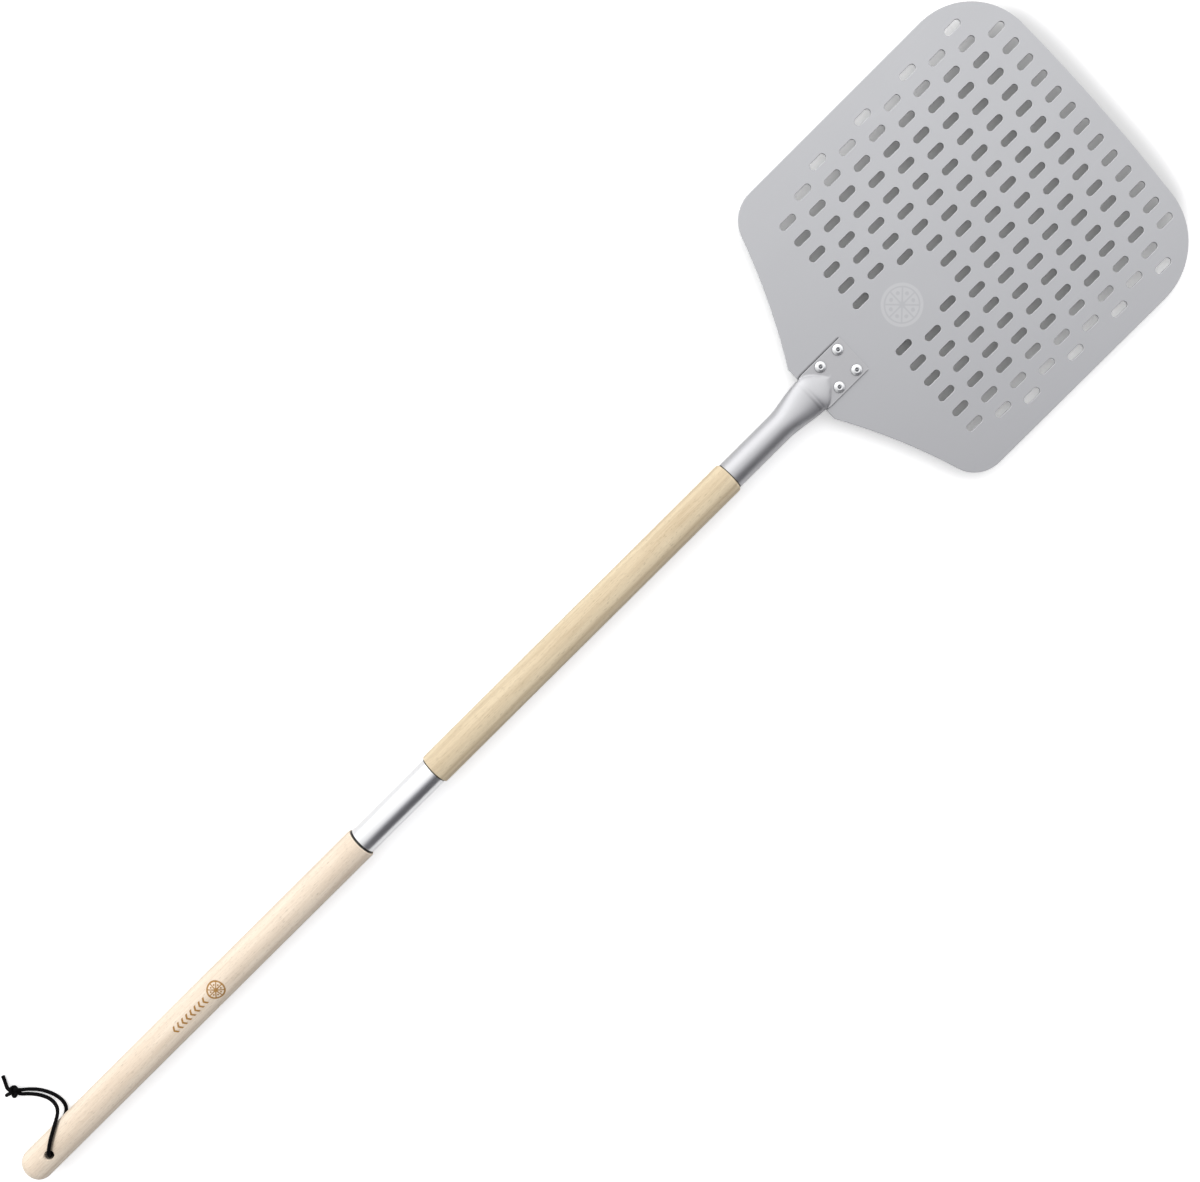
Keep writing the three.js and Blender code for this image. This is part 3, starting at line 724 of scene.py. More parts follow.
def carved(form: Form, *tools: Form) -> Form:
    """Cuts closed forms out of a closed form.

    Args:
        form: What is cut. It is freed.
        tools: What is taken away. They are freed.

    Returns:
        What is left.
    """
    block = loose("block", form)
    cutters = [loose("cutter", tool) for tool in tools]
    for cutter in cutters:
        step = block.modifiers.new("cut", "BOOLEAN")
        step.operation, step.solver, step.object = "DIFFERENCE", "EXACT", cutter
    depsgraph = bpy.context.evaluated_depsgraph_get()
    left = bmesh.new()
    left.from_mesh(block.evaluated_get(depsgraph).to_mesh())
    block.evaluated_get(depsgraph).to_mesh_clear()
    for gone in (block, *cutters):
        mesh = gone.data
        bpy.data.objects.remove(gone)
        bpy.data.meshes.remove(mesh)
    bmesh.ops.dissolve_degenerate(left, dist=ONE_PLACE, edges=left.edges)
    return left


@dataclass
class Outline:
    """Half of a turned section: corners of radius and place along the axis, each with its own round."""

    corners: list[tuple[float, float, float]] = field(default_factory=list)
    steps: int = 4

    def to(self, radius: float, along: float, fillet: float = 0.0) -> "Outline":
        """Adds a corner."""
        self.corners.append((radius, along, fillet))
        return self

    def points(self) -> list[tuple[float, float]]:
        """The outline's points, its rounds worked out."""
        found: list[tuple[float, float]] = []
        last = len(self.corners) - 1
        for index, (radius, along, fillet) in enumerate(self.corners):
            here = Vector((radius, along))
            if fillet <= 0.0 or index in (0, last):
                found.append((radius, along))
                continue
            back = (Vector(self.corners[index - 1][:2]) - here).normalized()
            ahead = (Vector(self.corners[index + 1][:2]) - here).normalized()
            half = back.angle(ahead) / 2
            centre = here + (back + ahead).normalized() * (fillet / math.sin(half))
            first = here + back * (fillet / math.tan(half)) - centre
            last_arm = here + ahead * (fillet / math.tan(half)) - centre
            sweep = first.angle(last_arm)
            for step in range(self.steps + 1):
                share = step / self.steps
                arm = first * math.sin((1 - share) * sweep) + last_arm * math.sin(share * sweep)
                found.append(tuple(centre + arm / math.sin(sweep)))
        return found

    def spun(self, sides: int, axis: str = "Y", centre: Point = (0.0, 0.0, AXIS_Z)) -> Form:
        """Spins the outline a full turn.

        Args:
            sides: Steps of the turn.
            axis: Y for pieces along the handle, Z for upright ones.
            centre: Added to the finished form, the handle's own axis unless it is given.

        Returns:
            The turned form.
        """
        form = bmesh.new()
        spun_verts = [form.verts.new((radius, along, 0.0)) for radius, along in self.points()]
        rims = [form.edges.new(pair) for pair in zip(spun_verts, spun_verts[1:])]
        bmesh.ops.spin(form, geom=[*spun_verts, *rims], cent=(0, 0, 0), axis=(0, 1, 0), dvec=(0, 0, 0),
                       angle=FULL_TURN, steps=sides, use_merge=True, use_duplicate=False)
        bmesh.ops.remove_doubles(form, verts=form.verts, dist=ONE_PLACE)
        if axis == "Z":
            upright = Matrix.Rotation(math.pi / 2, 3, "X")
            bmesh.ops.rotate(form, verts=form.verts, cent=(0, 0, 0), matrix=upright)
        bmesh.ops.translate(form, verts=form.verts, vec=centre)
        bmesh.ops.recalc_face_normals(form, faces=form.faces)
        return form


def box_tool(size: Point, at: Point, turn: float = 0.0, soften: float = 0.0) -> Form:
    """A block to cut with.

    Args:
        size: Its length, width and height.
        at: Its middle.
        turn: Angle about Z, in radians.
        soften: Round on its edges.

    Returns:
        The block.
    """
    form = bmesh.new()
    bmesh.ops.create_cube(form, size=1.0)
    bmesh.ops.scale(form, vec=size, verts=form.verts)
    if soften > 0.0:
        bmesh.ops.bevel(form, geom=form.edges[:], offset=soften, segments=3, profile=0.5, affect="EDGES",
                        material=-1)
    bmesh.ops.rotate(form, verts=form.verts, cent=(0, 0, 0), matrix=Matrix.Rotation(turn, 3, "Z"))
    bmesh.ops.translate(form, verts=form.verts, vec=at)
    return form


def smoothstep(value: float, low: float, high: float) -> float:
    """Rises smoothly from nought at low to one at high."""
    share = min(1.0, max(0.0, (value - low) / (high - low)))
    return share * share * (3 - 2 * share)


def lerp(first: float, second: float, share: float) -> float:
    """A share of the way from one number to another."""
    return first + (second - first) * share


# ------------------------------------------------------------------ camera and light

@dataclass
class Studio:
    """A pale floor with a painted shadow under the blade and a painted glow outside it, an even bright room
    with one darker side, a broad lamp and the camera.
    """

    eye: Point = (-0.14526, 0.08040, 1.100)
    turn_degrees: Point = (-6.018, -4.139, 45.318)
    lens: float = 39.742
    floor_size: float = 14.0
    floor_drop: float = 0.2 * MM
    floor_tones: tuple[float, float] = (0.93, 0.95)
    bounce: float = 0.40
    mirrored: float = 0.92
    # painted shadow under the blade: what the floor sends back there, and its tone to the camera
    painted_shadow_bounce: float = 0.34
    painted_shadow_tone: float = 0.80
    # painted glow: how much the floor glows to the camera outside the painted shadow
    painted_floor_glow: float = 0.36
    side_spill: tuple[float, float] = (6 * MM, 58 * MM)
    far_shade: tuple[float, float] = (32 * MM, 9 * MM)
    corner_fade: float = 40 * MM
    room_light: float = 1.11
    side_fall: float = -0.44
    least_wash: float = 0.60
    far_rise: float = 0.40
    flag_towards: Point = (0.84, -0.10, 0.50)
    flag_light: float = 0.15
    flag_edge: tuple[float, float] = (0.56, 0.94)
    flag_tint: Colour = (0.90, 0.89, 1.0)
    lamp_at: Point = (-2.2, 0.30, 1.20)
    lamp_size: float = 3.4
    lamp_watts: float = 14.0

    def camera(self) -> None:
        """Places the camera above the peel, a little to one side."""
        data = bpy.data.cameras.new("camera")
        data.lens, data.sensor_width, data.sensor_fit = self.lens, 36.0, "HORIZONTAL"
        data.clip_start, data.clip_end = 0.01, 100.0
        eye = added("camera", data)
        eye.location = self.eye
        eye.rotation_euler = tuple(math.radians(angle) for angle in self.turn_degrees)
        bpy.context.scene.camera = eye

    def painted_blade_shadow(self, graph: Graph) -> Field:
        """A mask for the painted shadow on the floor deep under the blade, where little of the room's light
        comes.

        Args:
            graph: The floor material's graph.

        Returns:
            One well under the blade, falling to nought near its sides and a little past its far edge.
        """
        x, y, _ = graph.axes(graph.place())
        blade = Blade()
        slope = (blade.half_width - blade.neck_half) / blade.shoulder_height
        edge = graph.math("MINIMUM", (y - AT.neck) * slope + blade.neck_half, blade.half_width)
        inside = (edge - abs(x)).ramp(*self.side_spill)
        rounded = (x / blade.half_width).power(4.0) * self.corner_fade
        return inside * (y - AT.far_edge + rounded).ramp(*self.far_shade)

    def floor(self) -> None:
        """Lays a wide pale floor just under the peel, white to the eye and greyer in what it sends back, with
        a painted shadow under the blade and a painted glow, seen only by the camera, outside it.
        """
        form = bmesh.new()
        bmesh.ops.create_grid(form, x_segments=2, y_segments=2, size=self.floor_size / 2)
        bmesh.ops.translate(form, verts=form.verts, vec=(0, 0, -self.floor_drop))
        mesh = meshed("floor", form)
        made, graph, shader = new_material("pale_floor")
        mottle = graph.noise(graph.place(), 3.0, 2.0)
        # mask for the painted shadow under the blade
        under = self.painted_blade_shadow(graph)
        white = graph.blend(mottle, *((tone,) * 3 for tone in self.floor_tones))
        # painted shadow: the floor looks darker to the camera under the blade
        white = graph.blend(under, white, (self.painted_shadow_tone,) * 3)
        path = graph.node("ShaderNodeLightPath")
        seen, shiny = (Field(graph, path.outputs[name]) for name in ("Is Camera Ray", "Is Glossy Ray"))
        returned = graph.blend(shiny, (self.bounce,) * 3, (self.mirrored,) * 3)
        # painted shadow: the floor sends back less light under the blade
        returned = graph.blend(under, returned, (self.painted_shadow_bounce,) * 3)
        # painted glow: the floor glows to the camera everywhere outside the painted shadow under the blade
        graph.feed_all(shader, Base_Color=graph.blend(seen, returned, white), Roughness=0.9,
                       Specular_IOR_Level=0.1, Emission_Color=(1.0, 1.0, 1.0, 1.0),
                       Emission_Strength=seen * (under * -self.painted_floor_glow + self.painted_floor_glow))
        mesh.materials.append(made)
        added("floor", mesh)

    def room(self) -> None:
        """Lights everything evenly from all round, less from one side, where a studio has its dark flag."""
        world = bpy.data.worlds.new("room")
        bpy.context.scene.world = world
        world.use_nodes = True
        graph = Graph(world.node_tree)
        back = next(node for node in world.node_tree.nodes if node.type == "BACKGROUND")
        direction = graph.result("ShaderNodeTexCoord", "Generated", {})
        sides = {0: direction, 1: Vector(self.flag_towards).normalized()}
        facing = graph.result("ShaderNodeVectorMath", "Value", sides, operation="DOT_PRODUCT")
        flag = facing.ramp(*self.flag_edge, 1.0, self.flag_light)
        sideways, along, _ = graph.axes(direction)
        wash = graph.math("MAXIMUM", sideways * self.side_fall + along * self.far_rise + 1.0, self.least_wash)
        seen = graph.result("ShaderNodeLightPath", "Is Camera Ray", {})
        level = graph.math("MAXIMUM", flag * wash, seen) * self.room_light
        graph.feed(back.inputs["Strength"], level)
        unflagged = graph.math("MAXIMUM", flag, seen)
        graph.feed(back.inputs["Color"], graph.blend(unflagged, self.flag_tint, (1.0, 1.0, 1.0)))

    def lamp(self) -> None:
        """Hangs one broad lamp on the bright side."""
        data = bpy.data.lights.new("broad_lamp", "AREA")
        data.shape, data.size, data.energy = "DISK", self.lamp_size, self.lamp_watts
        lamp = added("broad_lamp", data)
        lamp.location = self.lamp_at
        aim = Vector((0, 0.1, 0)) - Vector(self.lamp_at)
        lamp.rotation_euler = aim.to_track_quat("-Z", "Y").to_euler()

    def build(self) -> None:
        """Sets up the whole studio."""
        self.camera()
        self.floor()
        self.room()
        self.lamp()
        bpy.context.scene.view_settings.view_transform = "Standard"


# ------------------------------------------------------------------ hanging cord

@dataclass
class HangingCord:
    """A leather lace through the handle's end, its two ends tied in one knot. Points are in millimetres."""

    diameter: float = 3.0 * MM
    first_run: Sequence[Point] = (
        (1.2, -1, 14.15), (1.1, -1.15, 17), (1, -1.25, 20.4), (1, -1.25, 23.4), (0.7, -0.87, 25.85),
        (-0.17, 0.21, 27.93), (-1.48, 1.83, 29.31), (-3.02, 3.74, 29.8), (-5.7, 7.1, 29.3), (-8.6, 11, 27.8),
        (-11.4, 15.1, 25.6), (-14.1, 18.9, 22), (-16.4, 21.6, 17.4), (-18.7, 23, 12.6), (-21.7, 23.3, 8.1),
        (-26, 22.6, 4.3), (-31.2, 21.1, 2.1), (-36.6, 18.8, 1.6), (-41.6, 15.9, 1.6), (-46, 12.9, 2.4),
        (-50.2, 9.9, 4), (-53.4, 8.3, 4.6), (-57.4, 6.7, 4.7), (-61.7, 5.4, 4), (-64.8, 6, 2.6),
        (-68.2, 7.4, 1.6), (-72, 9.3, 1.6),
    )
    second_run: Sequence[Point] = (
        (1.2, -1, 13.85), (1.35, -0.85, 11), (1.39, -0.8, 8), (0.96, -0.56, 5.55), (-0.24, 0.14, 3.47),
        (-2.04, 1.18, 2.09), (-4.16, 2.4, 1.6), (-7.1, 4.3, 1.6), (-9.6, 7.1, 1.6), (-10.9, 11, 1.6),
        (-11.1, 15.5, 1.6), (-12.1, 20, 1.6), (-14.8, 24, 1.6), (-19.3, 26.5, 1.6), (-25, 27.1, 1.6),
        (-31.4, 26, 1.6), (-37.8, 23.5, 1.6), (-43.4, 20.1, 1.6), (-48.2, 16.4, 2.3), (-52.3, 13, 4),
        (-54.9, 10.3, 5.2), (-56.5, 6.9, 5.0), (-57.4, 3.3, 3.8), (-57.9, 1, 2.6), (-58.2, -1.2, 1.7),
    )
    knot_at: Point = (-56.1, 8.3, 4.9)
    knot_turn: float = math.radians(30)
    knot_size: Point = (1.42, 1.30, 1.75)
    knot_steps: int = 84
    knot_unevenness: float = 0.09
    upper_exit: float = 28.0 * MM
    lower_exit: float = 3.5 * MM
    points_near_exit: int = 60

    def placed(self, points: Iterable[Sequence[float]]) -> list[Vector]:
        """Turns millimetres from the hole into metres in the model."""
        return [Vector((x * MM, AT.cord_hole + y * MM, z * MM)) for x, y, z in points]

    def smooth_line(self, points: list[Vector], pieces: int = 6) -> list[Vector]:
        """A centripetal Catmull-Rom line through points.

        Args:
            points: What it passes through.
            pieces: Steps between two points.

        Returns:
            Points along the line.
        """
        ends = [points[0] * 2 - points[1], *points, points[-1] * 2 - points[-2]]
        line: list[Vector] = []
        for a, b, c, d in zip(ends, ends[1:], ends[2:], ends[3:]):
            knots = [0.0]
            for first, second in ((a, b), (b, c), (c, d)):
                knots.append(knots[-1] + math.sqrt((second - first).length))
            for step in range(pieces):
                t = lerp(knots[1], knots[2], step / pieces)
                ab = a.lerp(b, t / knots[1])
                bc = b.lerp(c, (t - knots[1]) / (knots[2] - knots[1]))
                cd = c.lerp(d, (t - knots[2]) / (knots[3] - knots[2]))
                abc = ab.lerp(bc, t / knots[2])
                bcd = bc.lerp(cd, (t - knots[1]) / (knots[3] - knots[1]))
                line.append(abc.lerp(bcd, (t - knots[1]) / (knots[2] - knots[1])))
        return [*line, points[-1].copy()]

    def curve(self, name: str, line: list[Vector]) -> Piece:
        """A round curve along a line.

        Args:
            name: The object's name.
            line: Its centreline.

        Returns:
            The curve object.
        """
        data = bpy.data.curves.new(name, "CURVE")
        data.dimensions, data.bevel_depth, data.bevel_resolution = "3D", self.diameter / 2, 4
        data.use_fill_caps = True
        spline = data.splines.new("POLY")
        spline.points.add(len(line) - 1)
        for point, place in zip(spline.points, line):
            point.co = (*place, 1.0)
        spline.use_smooth = True
        return added(name, data)

    def knot(self) -> Piece:
        """The knot, one lace passed over and under itself in three lobes and pulled up tight."""
        line = []
        for step in range(self.knot_steps + 1):
            angle = FULL_TURN * step / self.knot_steps
            lobe = Vector((math.sin(angle) + 2 * math.sin(2 * angle),
                           math.cos(angle) - 2 * math.cos(2 * angle), -math.sin(3 * angle)))
            uneven = 1 + self.knot_unevenness * math.sin(2 * angle + 0.7)
            line.append(Vector(uneven * part * size for part, size in zip(lobe, self.knot_size)))
        turn = Matrix.Rotation(self.knot_turn, 3, "Z")
        line = [turn @ point + Vector(self.knot_at) for point in line]
        wound = self.curve("knot_line", self.placed(line))
        bpy.context.view_layer.update()
        mesh = bpy.data.meshes.new_from_object(wound)
        mesh.name = "cord_knot_wraps"
        bpy.data.objects.remove(wound)
        return added("cord_knot_wraps", mesh)

    def build(self) -> None:
        knot = dressed(self.knot(), LACE, Body.LOWER, ["cord_knot"], 60.0)
        runs = (
            ("cord_first_run", self.first_run, ["cord_upper_leg", "cord_tail_long"], self.upper_exit, [knot]),
            ("cord_second_run", self.second_run, ["cord_lower_leg", "cord_tail_short"], self.lower_exit, []),
        )
        for name, points, nodes, exit_height, ends in runs:
            line = self.smooth_line(self.placed(points))
            length = sum((second - first).length for first, second in zip(line, line[1:]))
            piece = dressed(self.curve(name, line), LACE, Body.LOWER, nodes)
            leave = min(line[:self.points_near_exit], key=lambda point: abs(point.z - exit_height))
            LOG.info("%s is %.1f mm long", name, length / MM)


# ------------------------------------------------------------------ blade

@dataclass
class Blade:
    """The perforated plate."""

    under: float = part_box("blade")[0].z
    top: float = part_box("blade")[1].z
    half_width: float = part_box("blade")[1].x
    neck_half: float = 28.0 * MM
    shoulder_height: float = 75.0 * MM
    shoulder_hollow: float = 3.0 * MM
    shoulder_slope: float = math.radians(20)
    side_corner: float = 30.0 * MM
    far_corner: float = 62.0 * MM
    far_bow: float = 2.5 * MM
    slot_length: float = 16.0 * MM
    slot_width: float = 6.2 * MM
    slot_pitch: float = 17.5 * MM
    row_pitch: float = 25.4 * MM
    first_row: float = 21.8 * MM
    rows: int = 10
    wide_row: int = 16
    solid_radius: float = 32.0 * MM
    slot_sides: int = 16
    rounding: float = 0.32 * MM

    def half_outline(self) -> list[Vector]:
        """The right half of the edge, from the neck to the middle of the far edge."""
        neck = Vector((self.neck_half, AT.neck))
        centre = Vector((self.half_width - self.side_corner, AT.neck + self.shoulder_height))
        corner = [centre + self.side_corner * Vector((math.cos(a), math.sin(a)))
                  for a in (lerp(self.shoulder_slope - math.pi / 2, 0.0, step / 14) for step in range(15))]
        run = corner[0] - neck
        inward = Vector((-run.y, run.x)).normalized()
        shoulder = [neck + run * s + inward * (4 * self.shoulder_hollow * s * (1 - s))
                    for s in (step / 16 for step in range(16))]
        far_x = self.half_width - self.far_corner
        far = Vector((far_x, AT.far_edge - self.far_bow - self.far_corner))
        rounded = [far + self.far_corner * Vector((math.cos(a), math.sin(a)))
                   for a in (math.pi / 2 * step / 24 for step in range(25))]
        bow = [Vector((x, AT.far_edge - self.far_bow * (x / far_x) ** 2))
               for x in (far_x * step / 12 for step in range(11, -1, -1))]
        return [*shoulder, *corner, *rounded, *bow]

    def slot_places(self) -> list[tuple[float, float]]:
        """Where the slots' middles are."""
        places = []
        for row in range(self.rows):
            y = AT.far_edge - self.first_row - row * self.row_pitch
            count = self.wide_row - (1 if row % 2 == 0 else 0)
            skipped = 1 if row in (0, self.rows - 1) else 0
            for column in range(skipped, count - skipped):
                x = (column - (count - 1) / 2) * self.slot_pitch
                if math.hypot(x, y - BADGE_AT[1]) > self.solid_radius:
                    places.append((x, y))
        return places

    def slot_rim(self, form: Form, x: float, y: float) -> None:
        """Draws one slot's edge, a circle drawn apart into two ends."""
        half_step = math.pi / self.slot_sides
        radius = self.slot_width / 2 / math.cos(half_step)
        turn = Matrix.Translation((x, y, self.under)) @ Matrix.Rotation(half_step, 4, "Z")
        rim = bmesh.ops.create_circle(form, cap_ends=False, segments=self.slot_sides, radius=radius,
                                      matrix=turn)["verts"]
        reach = self.slot_length / 2 - self.slot_width / 2
        for vert in rim:
            vert.co.y += math.copysign(reach, vert.co.y - y)

    def form(self) -> Form:
        """The plate with its slots, its edges rounded top and bottom."""
        form = bmesh.new()
        right = self.half_outline()
        left = [Vector((-point.x, point.y)) for point in reversed(right[:-1])]
        rim = [form.verts.new((point.x, point.y, self.under)) for point in (*right, *left)]
        for first, second in zip(rim, [*rim[1:], rim[0]]):
            form.edges.new((first, second))
        for x, y in self.slot_places():
            self.slot_rim(form, x, y)
        bmesh.ops.triangle_fill(form, use_beauty=True, use_dissolve=False, edges=form.edges[:])
        bmesh.ops.recalc_face_normals(form, faces=form.faces)
        if form.faces[0].normal.z > 0:
            bmesh.ops.reverse_faces(form, faces=form.faces[:])
        lower = form.faces[:]
        raised = bmesh.ops.extrude_face_region(form, geom=lower, use_keep_orig=True)["geom"]
        upper = [item for item in raised if isinstance(item, bmesh.types.BMFace)]
        bmesh.ops.translate(form, verts=[item for item in raised if isinstance(item, bmesh.types.BMVert)],
                            vec=(0, 0, self.top - self.under))
        bmesh.ops.reverse_faces(form, faces=upper)
        for faces, sign, depth in ((upper, -1.0, self.rounding), (lower, 1.0, self.rounding * 0.5)):
            self.rounded_rim(form, faces, sign, depth)
        return form

    def rounded_rim(self, form: Form, faces: list[bmesh.types.BMFace], sign: float,
                    depth: float) -> None:
        """Rounds the edge of a cap.

        Args:
            form: The plate.
            faces: The cap's faces.
            sign: Which way its rim goes, up or down.
            depth: How far.
        """
        bmesh.ops.inset_region(form, faces=faces, thickness=depth, depth=0.0, use_boundary=True,
                               use_even_offset=True)
        form.normal_update()
        level = faces[0].calc_center_median().z
        rim = {vert for face in form.faces if abs(face.normal.z) < 0.5 for vert in face.verts
               if abs(vert.co.z - level) < ONE_PLACE}
        bmesh.ops.translate(form, verts=list(rim), vec=(0, 0, sign * depth))

    def build(self) -> None:
        """Makes the plate."""
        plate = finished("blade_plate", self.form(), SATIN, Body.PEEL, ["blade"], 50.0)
        flat = [abs(face.normal.z) < 0.999 for face in plate.data.polygons]
        plate.data.polygons.foreach_set("use_smooth", flat)


# ------------------------------------------------------------------ socket

@dataclass
class Socket:
    """The tube that holds the handle, pressed flat where it is riveted to the blade."""

    radius: float = 12.5 * MM
    wall: float = 1.2 * MM
    press_length: float = 40.0 * MM
    neck_half: float = 16.75 * MM
    tongue_half: float = 17.7 * MM
    ridge: float = 8.0 * MM
    nose_length: float = 19.5 * MM
    crease: float = 1.5 * MM
    lip: float = 0.35 * MM
    side_steps: int = 4
    face_steps: int = 44
    side_angle: float = math.radians(10)
    bore_depth: float = 50.0 * MM
    fold_wall: float = 0.85 * MM
    fold_depth: float = 1.0 * MM

    def stations(self) -> list[float]:
        """Places along the tube where its section is set."""
        press = AT.neck - self.press_length
        nose = AT.neck + self.nose_length
        tube = [lerp(AT.tube_mouth, press, step / 10) for step in range(10)]
        pressed = [lerp(press, AT.neck, step / 36) for step in range(36)]
        over = [lerp(AT.neck, nose, (step / 46) ** 1.15) for step in range(46)]
        flat = [lerp(nose, AT.tongue_tip - self.lip, step / 8) for step in range(9)]
        return [*tube, *pressed, *over, *flat, AT.tongue_tip]

    def section_point(self, index: int, y: float) -> Vector:
        """A point of the section.

        Args:
            index: Which point, counted round from the lower right corner.
            y: Place along the tube.

        Returns:
            The point.
        """
        index %= 2 * (self.side_steps + self.face_steps)
        pressed = smoothstep(y, AT.neck - self.press_length, AT.neck)
        flat = smoothstep(y, AT.neck - 3.5 * MM, AT.neck + 2.5 * MM)
        half = lerp(self.radius, self.neck_half, pressed)
        wide = lerp(self.neck_half, self.tongue_half, smoothstep(y, AT.neck - 2 * MM, AT.neck + 5 * MM))
        angle, across, up = self.unit_point(index)
        rise = lerp(self.radius, self.ridge, pressed)
        below = lerp(self.radius, self.wall, pressed)
        x = half * math.cos(angle)
        if math.sin(angle) > 0:
            z = rise * math.sin(angle)
        else:
            square = lerp(2.0, 16.0, pressed * pressed)
            z = -below * max(0.0, 1 - abs(math.cos(angle)) ** square) ** (1 / square)
        x, z = lerp(x, wide * across, flat), lerp(z, self.wall * up, flat)
        if up >= 1.0 and flat > 0.0:
            z = self.humped(x, y, z)
        return Vector((x, y, AXIS_Z + z))

    def unit_point(self, index: int) -> tuple[float, float, float]:
        """Where a point of the section lies on the unit circle and on the unit square.

        Args:
            index: Which point, counted round from the lower right corner.

        Returns:
            Its angle on the circle, and its two places on the square.
        """
        top_side = self.side_steps + self.face_steps
        if index <= self.side_steps:
            share = index / self.side_steps
            return lerp(-self.side_angle, self.side_angle, share), 1.0, 2 * share - 1
        if index <= top_side:
            share = (index - self.side_steps) / self.face_steps
            return lerp(self.side_angle, math.pi - self.side_angle, share), 1 - 2 * share, 1.0
        if index <= top_side + self.side_steps:
            share = (index - top_side) / self.side_steps
            return lerp(math.pi - self.side_angle, math.pi + self.side_angle, share), -1.0, 1 - 2 * share
        share = (index - top_side - self.side_steps) / self.face_steps
        return lerp(math.pi + self.side_angle, FULL_TURN - self.side_angle, share), 2 * share - 1, -1.0

    def humped(self, x: float, y: float, flat: float) -> float:
        """Height of the upper face, where the round of the tube runs out over the flat tongue.

        Args:
            x: Place across.
            y: Place along.
            flat: Height without the round.

        Returns:
            The height above the tube's axis.
        """
        nose = min(1.0, max(0.0, (y - AT.neck) / self.nose_length))
        half = self.neck_half * (1 - nose ** 1.9)
        rise = lerp(self.ridge, self.wall + 0.1 * MM, 0.45 * smoothstep(nose, 0.0, 1.0) + 0.55 * nose)
        inside = 1 - (x / half) ** 2 if half > 0.0 else 0.0
        hump = rise * math.sqrt(inside) if inside > 0.0 else 0.0
        gap = max(self.crease - abs(flat - hump), 0.0) / self.crease
        return max(flat, hump) + gap * gap * self.crease / 4

    def form(self) -> Form:
        """The pressed tube, closed at its tongue and open where the wood goes in."""
        form = bmesh.new()
        count = 2 * (self.side_steps + self.face_steps)
        places = self.stations()
        last = len(places) - 1
        bmesh.ops.create_grid(form, x_segments=count, y_segments=last, size=0.5)
        for vert in form.verts:
            index, station = round((vert.co.x + 0.5) * count), round((vert.co.y + 0.5) * last)
            vert.co = self.section_point(index, places[station])
        bmesh.ops.remove_doubles(form, verts=form.verts, dist=ONE_PLACE)
        mouth = self.edges_at(form, places[0])
        tip = bmesh.ops.contextual_create(form, geom=self.edges_at(form, places[-1]))["faces"]
        bmesh.ops.inset_region(form, faces=tip, thickness=self.fold_wall, depth=0.0, use_even_offset=True)
        fold = {vert for face in tip for vert in face.verts}
        bmesh.ops.translate(form, verts=list(fold), vec=(0, -self.fold_depth, 0))
        self.bore(form, mouth)
        bmesh.ops.recalc_face_normals(form, faces=form.faces)
        return form

    def edges_at(self, form: Form, y: float) -> list[bmesh.types.BMEdge]:
        """The edges that lie in one section."""
        return [edge for edge in form.edges if all(abs(vert.co.y - y) < ONE_PLACE for vert in edge.verts)]

    def bore(self, form: Form, mouth: list[bmesh.types.BMEdge]) -> None:
        """Turns the open end inwards and closes it behind the wood.

        Args:
            form: The tube.
            mouth: The edges of its open end.
        """
        moves = (((self.radius - self.wall) / self.radius, 0.0), (1.0, self.bore_depth))
        edges = mouth
        for shrink, depth in moves:
            grown = bmesh.ops.extrude_edge_only(form, edges=edges)["geom"]
            verts = [item for item in grown if isinstance(item, bmesh.types.BMVert)]
            edges = [item for item in grown if isinstance(item, bmesh.types.BMEdge)]
            edges = [edge for edge in edges if all(vert in verts for vert in edge.verts)]
            axis = Matrix.Translation((0, 0, -AXIS_Z))
            bmesh.ops.scale(form, vec=(shrink, 1.0, shrink), space=axis, verts=verts)
            bmesh.ops.translate(form, verts=verts, vec=(0, depth, 0))
        bmesh.ops.contextual_create(form, geom=edges)

    def build(self) -> None:
        """Makes the tube."""
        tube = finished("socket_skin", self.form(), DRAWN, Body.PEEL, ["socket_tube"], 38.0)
        softened = tube.modifiers.new("soft_edges", "BEVEL")
        softened.width, softened.segments, softened.limit_method = 0.14 * MM, 2, "ANGLE"
        softened.angle_limit = math.radians(50)


# ------------------------------------------------------------------ rivets and screws

